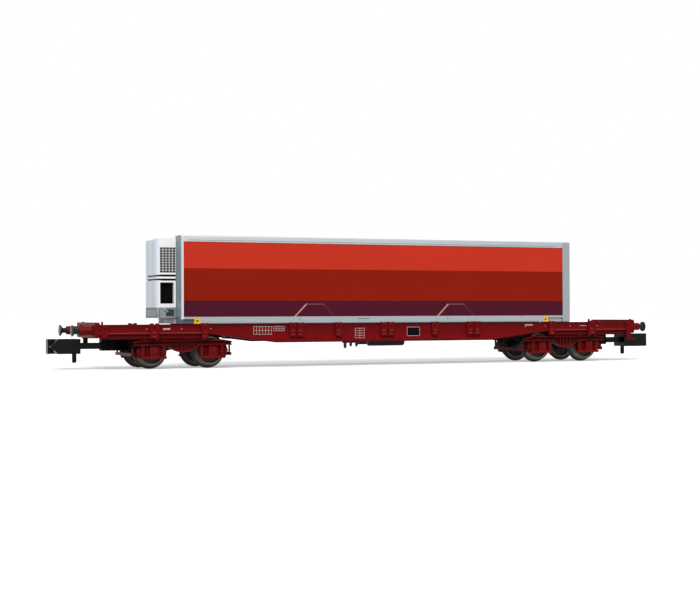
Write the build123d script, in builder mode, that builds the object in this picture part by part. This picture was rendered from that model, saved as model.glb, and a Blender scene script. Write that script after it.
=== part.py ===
"""N-gauge model of a four-axle container flatcar carrying a refrigerated swap container.

The model is at its own size, about 1:160 of the real wagon, in millimetres.
Frame: X along the wagon, the refrigeration unit at -X, the container's doors at +X; Y across it,
the side that shows at -Y; Z up. The origin is on the floor, under the middle, and the wheels'
flange tips stand on Z = 0. "left" names the -X end, "right" the +X end, "near" the -Y side.
"""
import os
from math import cos, radians, sin

from build123d import *

# Wagon: driving dimensions
PIVOT_SPACING = 82.4        # between the two bogie pivots
END_OVERHANG = 16.7         # pivot to the headstock's outer face
BUFFER_LENGTH = 3.8         # headstock's outer face to the buffer's face
DECK_RISE = 2.8             # top of the side sills above the bogie frames
FIT = 0.02                  # radial or face gap of pieces that are pressed together
RUNNING_GAP = 0.06          # radial gap of a pin that turns in a hole

# Wheelsets
WHEELBASE = 11.25
BACK_TO_BACK = 7.4          # between the wheels' inner faces, for 9 mm gauge
WHEEL_W = 1.9
TREAD_R = 2.8
FLANGE_H = 0.5
FLANGE_W = 0.5
RIM_T = 0.55                # radial depth of the rim
WEB_SETBACK = 0.4           # how far the wheel's web lies inside the rim's faces
HUB_R = 1.15
AXLE_R = 0.7
JOURNAL_R = 0.45
JOURNAL_L = 0.85            # straight journal past the wheel's outer face
CONE_L = 0.5                # pointed end past the journal
CONE_TIP_R = 0.12

# Bogies. Heights are measured from the axle
FRAME_GAP = 0.6             # wheel's outer face to the side frame's web
FRAME_WEB_T = 0.6
FRAME_LIP = 0.5             # how far the frame's flanges stand out past the web
FRAME_BAND_RISE = 1.05      # underside of the frame's upper band above the axle
FRAME_BAND_H = 1.05
FRAME_END_DROP = 0.3        # how far the frame's top drops at its tapered ends
FRAME_FLANGE_T = 0.25
FRAME_PAST_FLANGE = 0.5     # end of the frame past the wheel's flange
FRAME_TAPER = 1.8           # length of the tapered end
BELLY_CLEAR = 0.175         # springs to the curved belly between the axle boxes
BELLY_DIP = 1.3             # how far the belly dips below the band
BELLY_RIBS = 4
RIB_W = 0.22
RIB_PITCH = 0.75
HORN_W = 0.65
HORN_DROP = 0.85            # foot of the horn plates below the axle
GUIDE_GAP = 0.1             # guides of an axle box to the box, its springs and its seat
BOX_W = 1.55                # axle box
BOX_H = 1.7
BOX_OUT = 0.65              # axle box face past the frame's web
COVER_R = 0.55
COVER_T = 0.15
SADDLE_T = 0.5              # spring seat under the axle box
SADDLE_DROP = 1.4
SPRING_OFFSET = 1.95        # spring to axle
SPRING_R = 0.5
SPRING_CORE_R = 0.36
SPRING_TURNS = 4
BOLSTER_GAP = 0.825         # bolster to the wheels' flanges
BOLSTER_H = 1.4
PIVOT_PAD_R = 1.7
PIVOT_PAD_T = 0.2
PIVOT_R = 0.8
PIVOT_HEAD_R = 1.3
PIVOT_HEAD_T = 0.3
PIVOT_GAP = 0.1             # running gap above and below the bolster
SHOE_GAP = 0.15
SHOE_T = 0.45
SHOE_W = 1.05
SHOE_ANGLE = 26             # half angle that a brake shoe spans, degrees
BEAM_GAP = 0.25             # flange tip to brake beam
BEAM_T = 0.5
BEAM_H = 0.6
BEAM_DROP = 0.9
HANGER_W = 0.45

# Underframe. Heights are measured down from the deck
SILL_WEB_T = 0.45
SILL_FLANGE_T = 0.3
SILL_FLANGE_IN = 0.6        # flange width inside the web
SILL_LIP = 0.15             # lower flange past the web's outer face
END_WEB_H = 1.75            # height of the sill's shallow ends
DEEP_WEB_H = 3.5            # height of its deep middle
DEEP_HALF = 23.0            # half length of the deep middle
TOE_INSET = 4.4             # where the shallow end starts, inside the pivot
SKIRT_H = 0.87              # set-back skirt under the ends
SKIRT_SETBACK = 0.2
HEADSTOCK_T = 0.9
HEADSTOCK_H = 2.35
HEADSTOCK_RISE = 0.5        # headstock above the deck
HEADSTOCK_CORNER_R = 0.45
END_DECK_L = 26.0
END_DECK_T = 0.6
CENTRE_SILL_W = 3.2
CENTRE_SILL_H = 2.5
CROSS_BEAM_W = 0.8
END_BEAM_INSET = 3.0        # outermost cross beams inside the end decks
PIVOT_BOSS_R = 1.8

# Buffers
BUFFER_SPACING = 10.94
BUFFER_DROP = 1.0
BUFFER_R = 1.05
BUFFER_HEAD_T = 0.25
BUFFER_CONE_L = 0.35
BUFFER_SHANK_R = 0.5
BUFFER_STROKE = 0.7         # bare shank between the casing and the head
CASING_R = 0.8
CASING_BASE_W = 2.0
CASING_BASE_T = 0.25

# Couplers
COUPLER_PAST_BUFFERS = 3.2
HEAD_L = 5.6
HEAD_W = 4.2
HEAD_H = 2.75
HEAD_DROP = 0.85            # head's foot below the shank
HEAD_WALL = 0.55
NOSE_L = 2.3                # both prongs of the head
LOOP_W = 2.0
PRONG_GAP = 0.4
LOOP_BAR_T = 0.7
TAIL_PIN_R = 0.42
TAIL_PIN_L = 1.7
TAIL_PIN_INSET = 0.75
SHANK_W = 1.6
SHANK_H = 1.15
SHANK_RISE = 0.35           # shank above the arm's foot
ARM_W = 2.4
ARM_H = 2.2
ARM_DROP = 1.7              # arm's top below the end deck
ARM_L = 2.8                 # arm's pivot to its mouth
ARM_TAIL_L = 2.3            # tail past the pivot, over the bogie's brake beam
ARM_TAIL_W = 1.3
ARM_GAP = 0.25              # arm to the bogie's brake beam
SOCKET_L = 1.2
ARM_PIVOT_R = 0.5
ARM_PIVOT_L = 1.6
ARM_BOSS_R = 1.0

# Container
CONTAINER_W = 15.94
CONTAINER_H = 16.5
CASTING_SPACING = 74.75     # between the corner castings' centres, along X
LOAD_SHIFT = -1.375         # middle of the castings, toward the refrigeration unit
FRONT_OVERHANG = 3.1       # container's front past the front castings' centre
REAR_OVERHANG = 5.85
PAD_T = 0.16                # pads that carry the container above the sills
PAD_L = 1.6
PAD_W = 0.7
SPIGOT_R = 0.28
SPIGOT_H = 0.5
POST_W_FRONT = 0.5
POST_W_REAR = 1.7
POST_D = 1.0
POST_CORNER_R = 0.25
RAIL_D = 0.8
BOTTOM_RAIL_H = 1.28
TOP_RAIL_H = 1.2
PANEL_T = 0.55
PANEL_SETBACK = 0.1
FLOOR_T = 0.6
FLOOR_RISE = 0.5            # floor's underside above the rails' foot
ROOF_T = 0.5
ROOF_DROP = 0.05
CASTING_L = 1.15
CASTING_H = 1.04
CASTING_PROUD = 0.03
CASTING_HOLE_W = 0.5
CASTING_HOLE_H = 0.32
UNDERCUT_H = 0.85           # rail set back between the end post and the casting
UNDERCUT_D = 0.4
DOOR_T = 0.65
DOOR_SETBACK = 0.15
DOOR_GAP = 0.06
LOCK_ROD_R = 0.17
LOCK_ROD_SIDES = 8          # moulded rods have flats
LOCK_ROD_PROUD = 0.1
LOCK_ROD_INSETS = (1.6, 5.0)
LOCK_KEEPER_W = 0.52
LOCK_KEEPER_H = 0.36
GRAPPLE_SPACING = 30.48     # between the two grapple recesses on a side
GRAPPLE_FOOT = 8.6
GRAPPLE_HEAD = 3.6
GRAPPLE_H = 2.5
GRAPPLE_BEAD = 0.3
GRAPPLE_PROUD = 0.08

# Refrigeration unit
UNIT_D = 3.7                # depth in front of the container
UNIT_W = 8.8
UNIT_WALL = 0.5
UNIT_CORNER_R = 1.1
UNIT_TOP_R = 0.5            # rounding of the top to both sides
UNIT_BASE_CORNER_R = 0.45
UNIT_FOOT = 1.1             # its foot above the container's
UNIT_BASE_H = 1.95
UNIT_LOWER_H = 5.1
UNIT_BAND_H = 1.0
UNIT_UPPER_H = 7.3
UNIT_BAND_SETBACK = 0.3
UNIT_SLOPE_L = 3.0          # sloping front of the top
UNIT_SLOPE_H = 0.6
UNIT_RIDGE_H = 0.48
GRILLE_COLUMNS = 5
GRILLE_ROWS = 10
GRILLE_BAR = 0.1            # between two holes
GRILLE_FOOT = 0.64          # lowest holes' centre above the upper cover's foot
GRILLE_HEAD = 1.75          # highest holes' centre below the sloping top's lower edge
GRILLE_BACK = 0.33          # last column's centre in front of the container
GRILLE_FRONT = 0.95          # first column's centre behind the unit's front
WINDOW_FOOT = 0.8
WINDOW_HEAD = 0.6
WINDOW_BACK = 0.5
WINDOW_FRONT = 0.85

# Fold-up stakes along the sills. Columns: X of the group, plates in it, width, foot below the deck
STAKE_GAP = 0.05            # container's side to the stakes
STAKE_T = 0.33
STAKE_STANDOFF = 0.22       # sill's web to the stakes
STAKE_RISE = 0.3            # stake above the deck
STAKE_NOTCH_R = 0.22
STAKE_HOLE_R = 0.2
STAKE_HOLE_DROP = 0.78      # hole's centre below the stake's top
STAKE_PAIR_GAP = 0.2
STAKE_SLOT_W = 0.6
STAKE_SLOT_H = 0.12
STAKE_SLOT_D = 0.12
STAKES = (
    (-46.97, 1, 1.7, 2.58),
    (-37.33, 1, 1.3, 2.58),
    (-19.08, 2, 1.35, 2.4),
    (-10.38, 1, 1.35, 2.4),
    (0.0, 2, 1.35, 2.4),
    (10.38, 1, 1.35, 2.4),
    (19.08, 2, 1.35, 2.4),
    (37.33, 1, 1.3, 2.58),
    (46.97, 1, 1.7, 2.58),
)

# Corner plates, steps and lamp irons
CORNER_PLATE_W = 1.2
CORNER_PLATE_H = 2.4
CORNER_PLATE_T = 0.28
CORNER_INSET = 0.2          # from the headstock's inner face
CORNER_HOLE_R = 0.2
LAMP_IRON_W = 0.3
LAMP_IRON_RISE = 0.65
STEP_DROP = 1.1             # step below the corner plate
STEP_T = 0.2
STEP_L = 2.2
STEP_D = 0.9
STEP_STRAP_W = 0.9
STEP_SHIFT = 0.6            # step's middle outside the strap's

# Brake gear under the middle
LEVER_RAIL_X = (-9.4, -5.1)
LEVER_RAIL_T = 0.25
LEVER_T = 0.3
# Columns: X of the lever, width, length below the sill
LEVERS = ((-8.85, 0.55, 1.35), (-7.65, 0.5, 1.0), (-6.45, 0.5, 1.03))
TANK_R = 0.95
TANK_L = 7.9
TANK_X = 1.6
TANK_DROP = 2.07            # middle of the tank below the cross beams
TANK_Y = 3.6
TANK_END_R = 0.35
CYLINDER_R = 0.8
CYLINDER_L = 3.2
ROD_R = 0.2
STRAP_W = 0.5

# Derived places along X
PIVOT_X = PIVOT_SPACING / 2
HEADSTOCK_X = PIVOT_X + END_OVERHANG
SILL_END_X = HEADSTOCK_X - HEADSTOCK_T
BUFFER_X = HEADSTOCK_X + BUFFER_LENGTH
CASING_L = BUFFER_LENGTH - BUFFER_HEAD_T - BUFFER_CONE_L - BUFFER_STROKE
TOE_X = PIVOT_X - TOE_INSET
FLANGE_R = TREAD_R + FLANGE_H
HALF_BASE = WHEELBASE / 2
FRAME_HALF = HALF_BASE + FLANGE_R + FRAME_PAST_FLANGE
SADDLE_HALF = SPRING_OFFSET + SPRING_R
BELLY_HALF = HALF_BASE - SADDLE_HALF - BELLY_CLEAR
BOLSTER_W = 2 * (HALF_BASE - FLANGE_R - BOLSTER_GAP)
BEAM_IN = HALF_BASE + FLANGE_R + BEAM_GAP
BEAM_OUT = BEAM_IN + BEAM_T
END_DECK_X = SILL_END_X - END_DECK_L
END_BEAM_X = END_DECK_X - END_BEAM_INSET
MID_BEAM_X = tuple(x for x, *_ in STAKES if abs(x) < DEEP_HALF)
CROSS_BEAM_X = (-END_BEAM_X, *MID_BEAM_X, END_BEAM_X)
ARM_PIVOT_X = PIVOT_X + BEAM_OUT + ARM_GAP + ARM_W / 2
ARM_MOUTH_X = ARM_PIVOT_X + ARM_L
HEAD_X = BUFFER_X + COUPLER_PAST_BUFFERS
HEAD_BACK_X = HEAD_X - HEAD_L
FRONT_CASTING_X = LOAD_SHIFT - CASTING_SPACING / 2
REAR_CASTING_X = LOAD_SHIFT + CASTING_SPACING / 2
FRONT_X = FRONT_CASTING_X - FRONT_OVERHANG
REAR_X = REAR_CASTING_X + REAR_OVERHANG
RAIL_X0 = FRONT_X + POST_W_FRONT
RAIL_X1 = REAR_X - POST_W_REAR
UNIT_X = FRONT_X - UNIT_D
GRILLE_PITCH_X = (UNIT_D - GRILLE_BACK - GRILLE_FRONT) / (GRILLE_COLUMNS - 1)
GRILLE_HOLE_W = GRILLE_PITCH_X - GRILLE_BAR
WINDOW_W = UNIT_D - WINDOW_BACK - WINDOW_FRONT

# Derived places along Y
WHEEL_IN = BACK_TO_BACK / 2
WHEEL_OUT = WHEEL_IN + WHEEL_W
FRAME_IN = WHEEL_OUT + FRAME_GAP
FRAME_WEB_OUT = FRAME_IN + FRAME_WEB_T
FRAME_OUT = FRAME_WEB_OUT + FRAME_LIP
SPRING_Y = (FRAME_IN + FRAME_OUT) / 2
CONTAINER_OUT = CONTAINER_W / 2
RAIL_IN = CONTAINER_OUT - RAIL_D
POST_IN = CONTAINER_OUT - POST_D
SPIGOT_Y = CONTAINER_OUT - RAIL_D / 2
STAKE_IN = CONTAINER_OUT + STAKE_GAP
SILL_OUT = STAKE_IN - STAKE_STANDOFF
SILL_IN = SILL_OUT - SILL_WEB_T
FLANGE_EDGE = SILL_IN - SILL_FLANGE_IN
HOOK_W = HEAD_W - LOOP_W - PRONG_GAP

# Derived places along Z
AXLE_Z = FLANGE_R
FRAME_BAND_Z = AXLE_Z + FRAME_BAND_RISE
FRAME_TOP_Z = FRAME_BAND_Z + FRAME_BAND_H
FRAME_END_Z = FRAME_TOP_Z - FRAME_END_DROP
HORN_Z = AXLE_Z - HORN_DROP
SADDLE_Z = AXLE_Z - SADDLE_DROP
SADDLE_TOP = SADDLE_Z + SADDLE_T
BEAM_Z = AXLE_Z - BEAM_DROP
BOLSTER_TOP = FRAME_TOP_Z
BOLSTER_Z = BOLSTER_TOP - BOLSTER_H
PAD_TOP = BOLSTER_TOP + PIVOT_PAD_T
DECK_Z = FRAME_TOP_Z + DECK_RISE
UNDER_FLANGE_Z = DECK_Z - SILL_FLANGE_T
END_WEB_Z = DECK_Z - END_WEB_H
LOWER_FLANGE_TOP = END_WEB_Z + SILL_FLANGE_T
BELLY_Z = DECK_Z - DEEP_WEB_H
SKIRT_Z = END_WEB_Z - SKIRT_H
CORNER_PLATE_Z = DECK_Z - CORNER_PLATE_H
STEP_Z = CORNER_PLATE_Z - STEP_DROP
HEADSTOCK_Z = DECK_Z - HEADSTOCK_H
CENTRE_SILL_Z = UNDER_FLANGE_Z - CENTRE_SILL_H
END_DECK_Z = UNDER_FLANGE_Z - END_DECK_T
BUFFER_Z = DECK_Z - BUFFER_DROP
TANK_Z = LOWER_FLANGE_TOP - TANK_DROP
ARM_TOP = END_DECK_Z - ARM_DROP
ARM_Z = ARM_TOP - ARM_H
SHANK_Z = ARM_Z + SHANK_RISE
HEAD_Z = SHANK_Z - HEAD_DROP
TAIL_PIN_Z = HEAD_Z - TAIL_PIN_L
CONTAINER_Z = DECK_Z + PAD_T
CONTAINER_TOP = CONTAINER_Z + CONTAINER_H
PANEL_Z0 = CONTAINER_Z + BOTTOM_RAIL_H
PANEL_Z1 = CONTAINER_TOP - TOP_RAIL_H
UNIT_Z0 = CONTAINER_Z + UNIT_FOOT
UNIT_Z1 = UNIT_Z0 + UNIT_BASE_H
UNIT_Z2 = UNIT_Z1 + UNIT_LOWER_H
UNIT_Z3 = UNIT_Z2 + UNIT_BAND_H
UNIT_Z4 = UNIT_Z3 + UNIT_UPPER_H
GRILLE_PITCH_Z = (UNIT_UPPER_H - UNIT_SLOPE_H - GRILLE_FOOT - GRILLE_HEAD) / (GRILLE_ROWS - 1)
GRILLE_HOLE_H = GRILLE_PITCH_Z - GRILLE_BAR
WINDOW_H = UNIT_LOWER_H - WINDOW_FOOT - WINDOW_HEAD

ENDS = (("left", -1), ("right", 1))
SIDES = (("near", -1), ("far", 1))


def block(x0, x1, y0, y1, z0, z1, mode=Mode.ADD):
    """A box between two corners, added to or cut from the open part."""
    with Locations(((x0 + x1) / 2, (y0 + y1) / 2, (z0 + z1) / 2)):
        Box(abs(x1 - x0), abs(y1 - y0), abs(z1 - z0), mode=mode)


def turned_end(part, end):
    """A right-end piece, or the same piece turned to the left end."""
    return part if end > 0 else part.rotate(Axis.Z, 180)


def other_side(part, side):
    """A near-side piece, or its mirror image on the far side."""
    return part if side < 0 else part.mirror(Plane.XZ)


def axle_plane(axle_x):
    """Plane through an axle: local x runs along the axle, local y is the radius."""
    return Plane((axle_x, 0, AXLE_Z), x_dir=(0, 1, 0), z_dir=(1, 0, 0))


def axle_line(axle_x):
    return Axis((axle_x, 0, AXLE_Z), (0, 1, 0))


def save(part, label):
    """Names a finished piece and writes its own file."""
    part.label = label
    export_step(part, f"parts/{label}.step")


# Wheelsets

def wheels(axle_x):
    """Two flanged wheels with a dished web and a hub."""
    rim_in = TREAD_R - RIM_T
    bore = AXLE_R + FIT
    web_in = WHEEL_IN + WEB_SETBACK
    web_out = WHEEL_OUT - WEB_SETBACK
    flange_tip_in = WHEEL_IN + FLANGE_W * 0.25
    flange_tip_out = WHEEL_IN + FLANGE_W * 0.65
    with BuildPart() as pair:
        with BuildSketch(axle_plane(axle_x)):
            with BuildLine():
                Polyline(
                    (WHEEL_IN, bore), (WHEEL_IN, HUB_R), (web_in, HUB_R), (web_in, rim_in),
                    (WHEEL_IN, rim_in), (WHEEL_IN, TREAD_R), (flange_tip_in, FLANGE_R),
                    (flange_tip_out, FLANGE_R), (WHEEL_IN + FLANGE_W, TREAD_R),
                    (WHEEL_OUT, TREAD_R), (WHEEL_OUT, rim_in), (web_out, rim_in),
                    (web_out, HUB_R), (WHEEL_OUT, HUB_R), (WHEEL_OUT, bore), close=True,
                )
            make_face()
        revolve(axis=axle_line(axle_x))
        mirror(about=Plane.XZ)
    return pair.part


def axle(axle_x):
    """Axle with a journal and a pointed end past each wheel."""
    journal_end = WHEEL_OUT + JOURNAL_L
    tip = journal_end + CONE_L
    with BuildPart() as shaft:
        with BuildSketch(axle_plane(axle_x)):
            with BuildLine():
                Polyline(
                    (-tip, 0), (-tip, CONE_TIP_R), (-journal_end, JOURNAL_R), (-WHEEL_OUT, JOURNAL_R),
                    (-WHEEL_OUT, AXLE_R), (WHEEL_OUT, AXLE_R), (WHEEL_OUT, JOURNAL_R),
                    (journal_end, JOURNAL_R), (tip, CONE_TIP_R), (tip, 0), close=True,
                )
            make_face()
        revolve(axis=axle_line(axle_x))
    return shaft.part


# Bogies, each drawn about its own pivot and placed by its centre

def side_frames(centre_x):
    """Pressed side frames: a web with a curved belly, flanges, ribs, horn plates and guides."""
    horn_in = HALF_BASE + SADDLE_HALF + RUNNING_GAP
    horn_out = horn_in + HORN_W
    horn_mid_z = (FRAME_BAND_Z + HORN_Z) / 2
    belly_z = FRAME_BAND_Z - BELLY_DIP
    taper_x = FRAME_HALF - FRAME_TAPER
    plane = Plane((centre_x, -FRAME_WEB_OUT, 0), x_dir=(1, 0, 0), z_dir=(0, -1, 0))
    with BuildPart() as frames:
        with BuildSketch(plane):
            with BuildLine():
                Polyline(
                    (-BELLY_HALF, FRAME_BAND_Z), (-FRAME_HALF, FRAME_BAND_Z), (-FRAME_HALF, FRAME_END_Z),
                    (-taper_x, FRAME_TOP_Z), (taper_x, FRAME_TOP_Z), (FRAME_HALF, FRAME_END_Z),
                    (FRAME_HALF, FRAME_BAND_Z), (BELLY_HALF, FRAME_BAND_Z),
                )
                ThreePointArc((BELLY_HALF, FRAME_BAND_Z), (0, belly_z), (-BELLY_HALF, FRAME_BAND_Z))
            make_face()
        extrude(amount=-FRAME_WEB_T)
        for way in (-1, 1):
            with BuildSketch(plane):
                with BuildLine():
                    Polyline(
                        (way * horn_in, FRAME_BAND_Z), (way * horn_in, HORN_Z),
                        (way * (horn_in + HORN_W * 0.5), HORN_Z), (way * horn_out, horn_mid_z),
                        (way * (horn_in + HORN_W * 0.5), FRAME_BAND_Z), close=True,
                    )
                make_face()
            extrude(amount=-FRAME_WEB_T)
        # guides on both sides of each axle box
        guide_in = BOX_W / 2 + GUIDE_GAP
        guide_out = SPRING_OFFSET - SPRING_R - GUIDE_GAP
        guide_z = SADDLE_TOP + GUIDE_GAP
        with BuildSketch(plane):
            for axle_x in (-HALF_BASE, HALF_BASE):
                with Locations((axle_x, (guide_z + FRAME_BAND_Z) / 2)):
                    with GridLocations(guide_in + guide_out, 1, 2, 1):
                        Rectangle(guide_out - guide_in, FRAME_BAND_Z - guide_z)
        extrude(amount=-FRAME_WEB_T)
        # flange along the top, following the tapered ends
        with BuildSketch(plane):
            with BuildLine():
                Polyline(
                    (-FRAME_HALF, FRAME_END_Z), (-taper_x, FRAME_TOP_Z), (taper_x, FRAME_TOP_Z),
                    (FRAME_HALF, FRAME_END_Z), (FRAME_HALF, FRAME_END_Z - FRAME_FLANGE_T),
                    (taper_x, FRAME_TOP_Z - FRAME_FLANGE_T), (-taper_x, FRAME_TOP_Z - FRAME_FLANGE_T),
                    (-FRAME_HALF, FRAME_END_Z - FRAME_FLANGE_T), close=True,
                )
            make_face()
        extrude(amount=FRAME_LIP)
        # flange along the curved belly, carried out to the spring seats
        belly_in = FRAME_BAND_Z + FRAME_FLANGE_T
        with BuildSketch(plane):
            with BuildLine():
                Polyline((-FRAME_HALF, belly_in), (-FRAME_HALF, FRAME_BAND_Z), (-BELLY_HALF, FRAME_BAND_Z))
                ThreePointArc((-BELLY_HALF, FRAME_BAND_Z), (0, belly_z), (BELLY_HALF, FRAME_BAND_Z))
                Polyline(
                    (BELLY_HALF, FRAME_BAND_Z), (FRAME_HALF, FRAME_BAND_Z), (FRAME_HALF, belly_in),
                    (BELLY_HALF, belly_in),
                )
                ThreePointArc(
                    (BELLY_HALF, belly_in), (0, belly_z + FRAME_FLANGE_T), (-BELLY_HALF, belly_in)
                )
                Line((-BELLY_HALF, belly_in), (-FRAME_HALF, belly_in))
            make_face()
        extrude(amount=FRAME_LIP)
        # ribs over the middle of the belly
        rib_h = FRAME_TOP_Z - belly_z - FRAME_FLANGE_T
        with BuildSketch(plane):
            with Locations((0, FRAME_TOP_Z - rib_h / 2)):
                with GridLocations(RIB_PITCH, 1, BELLY_RIBS, 1):
                    Rectangle(RIB_W, rib_h)
        extrude(amount=FRAME_LIP / 2)
        mirror(about=Plane.XZ)
    return frames.part


def bolster(centre_x):
    """Cross member between the side frames, with the pivot hole and its pad."""
    with BuildPart() as beam:
        block(centre_x - BOLSTER_W / 2, centre_x + BOLSTER_W / 2, -FRAME_IN, FRAME_IN, BOLSTER_Z, BOLSTER_TOP)
        with BuildSketch(Plane.XY.offset(BOLSTER_TOP)):
            with Locations((centre_x, 0)):
                Circle(PIVOT_PAD_R)
        extrude(amount=PIVOT_PAD_T)
        with BuildSketch(Plane.XY.offset(BOLSTER_Z)):
            with Locations((centre_x, 0)):
                Circle(PIVOT_R + RUNNING_GAP)
        extrude(amount=PAD_TOP - BOLSTER_Z, mode=Mode.SUBTRACT)
    return beam.part


def axle_boxes(centre_x):
    """Axle boxes with a round cover, a spring seat on each side and a pointed bearing cup."""
    box_face = FRAME_WEB_OUT + BOX_OUT
    journal_end = WHEEL_OUT + JOURNAL_L + RUNNING_GAP
    tip = journal_end + CONE_L
    with BuildPart() as boxes:
        for axle_x in (centre_x - HALF_BASE, centre_x + HALF_BASE):
            block(axle_x - BOX_W / 2, axle_x + BOX_W / 2, -box_face, -FRAME_IN,
                  SADDLE_Z, AXLE_Z + BOX_H / 2)
            block(axle_x - SADDLE_HALF, axle_x + SADDLE_HALF, -FRAME_OUT, -FRAME_IN, SADDLE_Z, SADDLE_TOP)
            cover = Plane((axle_x, -box_face, AXLE_Z), x_dir=(1, 0, 0), z_dir=(0, -1, 0))
            with BuildSketch(cover):
                Circle(COVER_R)
            extrude(amount=COVER_T)
            with BuildSketch(axle_plane(axle_x)):
                with BuildLine():
                    Polyline(
                        (-FRAME_IN, 0), (-FRAME_IN, JOURNAL_R + RUNNING_GAP),
                        (-journal_end, JOURNAL_R + RUNNING_GAP), (-tip, CONE_TIP_R + RUNNING_GAP),
                        (-tip, 0), close=True,
                    )
                make_face()
            revolve(axis=axle_line(axle_x), mode=Mode.SUBTRACT)
        mirror(about=Plane.XZ)
    return boxes.part


def springs(centre_x):
    """Coil springs between the seats and the frames, with their turns as rings."""
    height = FRAME_BAND_Z - SADDLE_TOP
    pitch = height / SPRING_TURNS
    outline = [(0, 0), (SPRING_CORE_R, 0)]
    for turn in range(SPRING_TURNS):
        foot = turn * pitch
        outline += [
            (SPRING_R, foot + pitch * 0.3), (SPRING_R, foot + pitch * 0.7), (SPRING_CORE_R, foot + pitch)
        ]
    outline += [(0, height)]
    with BuildPart() as coils:
        for axle_x in (centre_x - HALF_BASE, centre_x + HALF_BASE):
            for spring_x in (axle_x - SPRING_OFFSET, axle_x + SPRING_OFFSET):
                plane = Plane((spring_x, -SPRING_Y, SADDLE_TOP), x_dir=(1, 0, 0), z_dir=(0, -1, 0))
                with BuildSketch(plane):
                    with BuildLine():
                        Polyline(*outline, close=True)
                    make_face()
                revolve(axis=Axis((spring_x, -SPRING_Y, 0), (0, 0, 1)))
        mirror(about=Plane.XZ)
    return coils.part


def brake_beams(centre_x):
    """A beam past each axle with two brake shoes, hung from the side frames."""
    shoe_in = TREAD_R + SHOE_GAP
    shoe_out = shoe_in + SHOE_T
    shoe_y1 = WHEEL_OUT - (WHEEL_W - FLANGE_W - SHOE_W) / 2
    shoe_y0 = shoe_y1 - SHOE_W
    hang_y = FRAME_IN - HANGER_W
    low, high = radians(-SHOE_ANGLE), radians(SHOE_ANGLE)
    with BuildPart() as beams:
        for way in (-1, 1):
            axle_x = centre_x + way * HALF_BASE
            near_x = centre_x + way * BEAM_IN
            far_x = centre_x + way * BEAM_OUT
            end_x = centre_x + way * min(BEAM_OUT, FRAME_HALF)
            block(near_x, far_x, -FRAME_IN, FRAME_IN, BEAM_Z, BEAM_Z + BEAM_H)
            for side in (-1, 1):
                block(near_x, end_x, side * hang_y, side * FRAME_IN, BEAM_Z, FRAME_END_Z - FRAME_FLANGE_T)
                block(axle_x + way * (shoe_in + SHOE_T / 2), far_x, side * shoe_y0, side * shoe_y1,
                      BEAM_Z, BEAM_Z + BEAM_H)
                face = Plane((axle_x, side * shoe_y0, AXLE_Z), x_dir=(way, 0, 0), z_dir=(0, -way, 0))
                with BuildSketch(face):
                    with BuildLine():
                        ThreePointArc(
                            (shoe_in * cos(low), shoe_in * sin(low)), (shoe_in, 0),
                            (shoe_in * cos(high), shoe_in * sin(high)),
                        )
                        Line((shoe_in * cos(high), shoe_in * sin(high)),
                             (shoe_out * cos(high), shoe_out * sin(high)))
                        ThreePointArc(
                            (shoe_out * cos(high), shoe_out * sin(high)), (shoe_out, 0),
                            (shoe_out * cos(low), shoe_out * sin(low)),
                        )
                        Line((shoe_out * cos(low), shoe_out * sin(low)),
                             (shoe_in * cos(low), shoe_in * sin(low)))
                    make_face()
                extrude(amount=-way * side * SHOE_W)
    return beams.part


# Underframe

def side_sill():
    """Near side sill: a fish-belly web with flanges, and a set-back skirt at its shallow ends."""
    lower = ((-SILL_END_X, END_WEB_Z), (-TOE_X, END_WEB_Z), (-DEEP_HALF, BELLY_Z),
             (DEEP_HALF, BELLY_Z), (TOE_X, END_WEB_Z), (SILL_END_X, END_WEB_Z))
    upper = tuple((x, z + SILL_FLANGE_T) for x, z in reversed(lower))
    with BuildPart() as sill:
        with BuildSketch(Plane.XZ.offset(SILL_OUT)):
            with BuildLine():
                Polyline(*lower, (SILL_END_X, DECK_Z), (-SILL_END_X, DECK_Z), close=True)
            make_face()
        extrude(amount=-SILL_WEB_T)
        with BuildSketch(Plane.XZ.offset(SILL_OUT + SILL_LIP)):
            with BuildLine():
                Polyline(*lower, *upper, close=True)
            make_face()
        extrude(amount=-(SILL_LIP + SILL_WEB_T + SILL_FLANGE_IN))
        block(-SILL_END_X, SILL_END_X, -SILL_OUT, -FLANGE_EDGE, UNDER_FLANGE_Z, DECK_Z)
        for way in (-1, 1):
            block(way * TOE_X, way * SILL_END_X, -(SILL_OUT - SKIRT_SETBACK), -SILL_IN, SKIRT_Z, END_WEB_Z)
    return sill.part


def headstock():
    """Right headstock, rounded at its top corners, with the two buffer casings."""
    with BuildPart() as beam:
        with BuildSketch(Plane.YZ.offset(SILL_END_X)):
            with BuildLine():
                Polyline(
                    (-SILL_OUT, HEADSTOCK_Z), (SILL_OUT, HEADSTOCK_Z), (SILL_OUT, DECK_Z + HEADSTOCK_RISE),
                    (-SILL_OUT, DECK_Z + HEADSTOCK_RISE), close=True,
                )
            outline = make_face()
            fillet(outline.vertices().group_by(Axis.Z)[-1], radius=HEADSTOCK_CORNER_R)
        extrude(amount=HEADSTOCK_T)
        with BuildSketch(Plane.YZ.offset(HEADSTOCK_X)):
            with Locations((-BUFFER_SPACING / 2, BUFFER_Z), (BUFFER_SPACING / 2, BUFFER_Z)):
                Rectangle(CASING_BASE_W, CASING_BASE_W)
        extrude(amount=CASING_BASE_T)
        with BuildSketch(Plane.YZ.offset(HEADSTOCK_X)):
            with Locations((-BUFFER_SPACING / 2, BUFFER_Z), (BUFFER_SPACING / 2, BUFFER_Z)):
                Circle(CASING_R)
        extrude(amount=CASING_L)
        with BuildSketch(Plane.YZ.offset(HEADSTOCK_X)):
            with Locations((-BUFFER_SPACING / 2, BUFFER_Z), (BUFFER_SPACING / 2, BUFFER_Z)):
                Circle(BUFFER_SHANK_R + FIT)
        extrude(amount=CASING_L, mode=Mode.SUBTRACT)
    return beam.part


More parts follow.
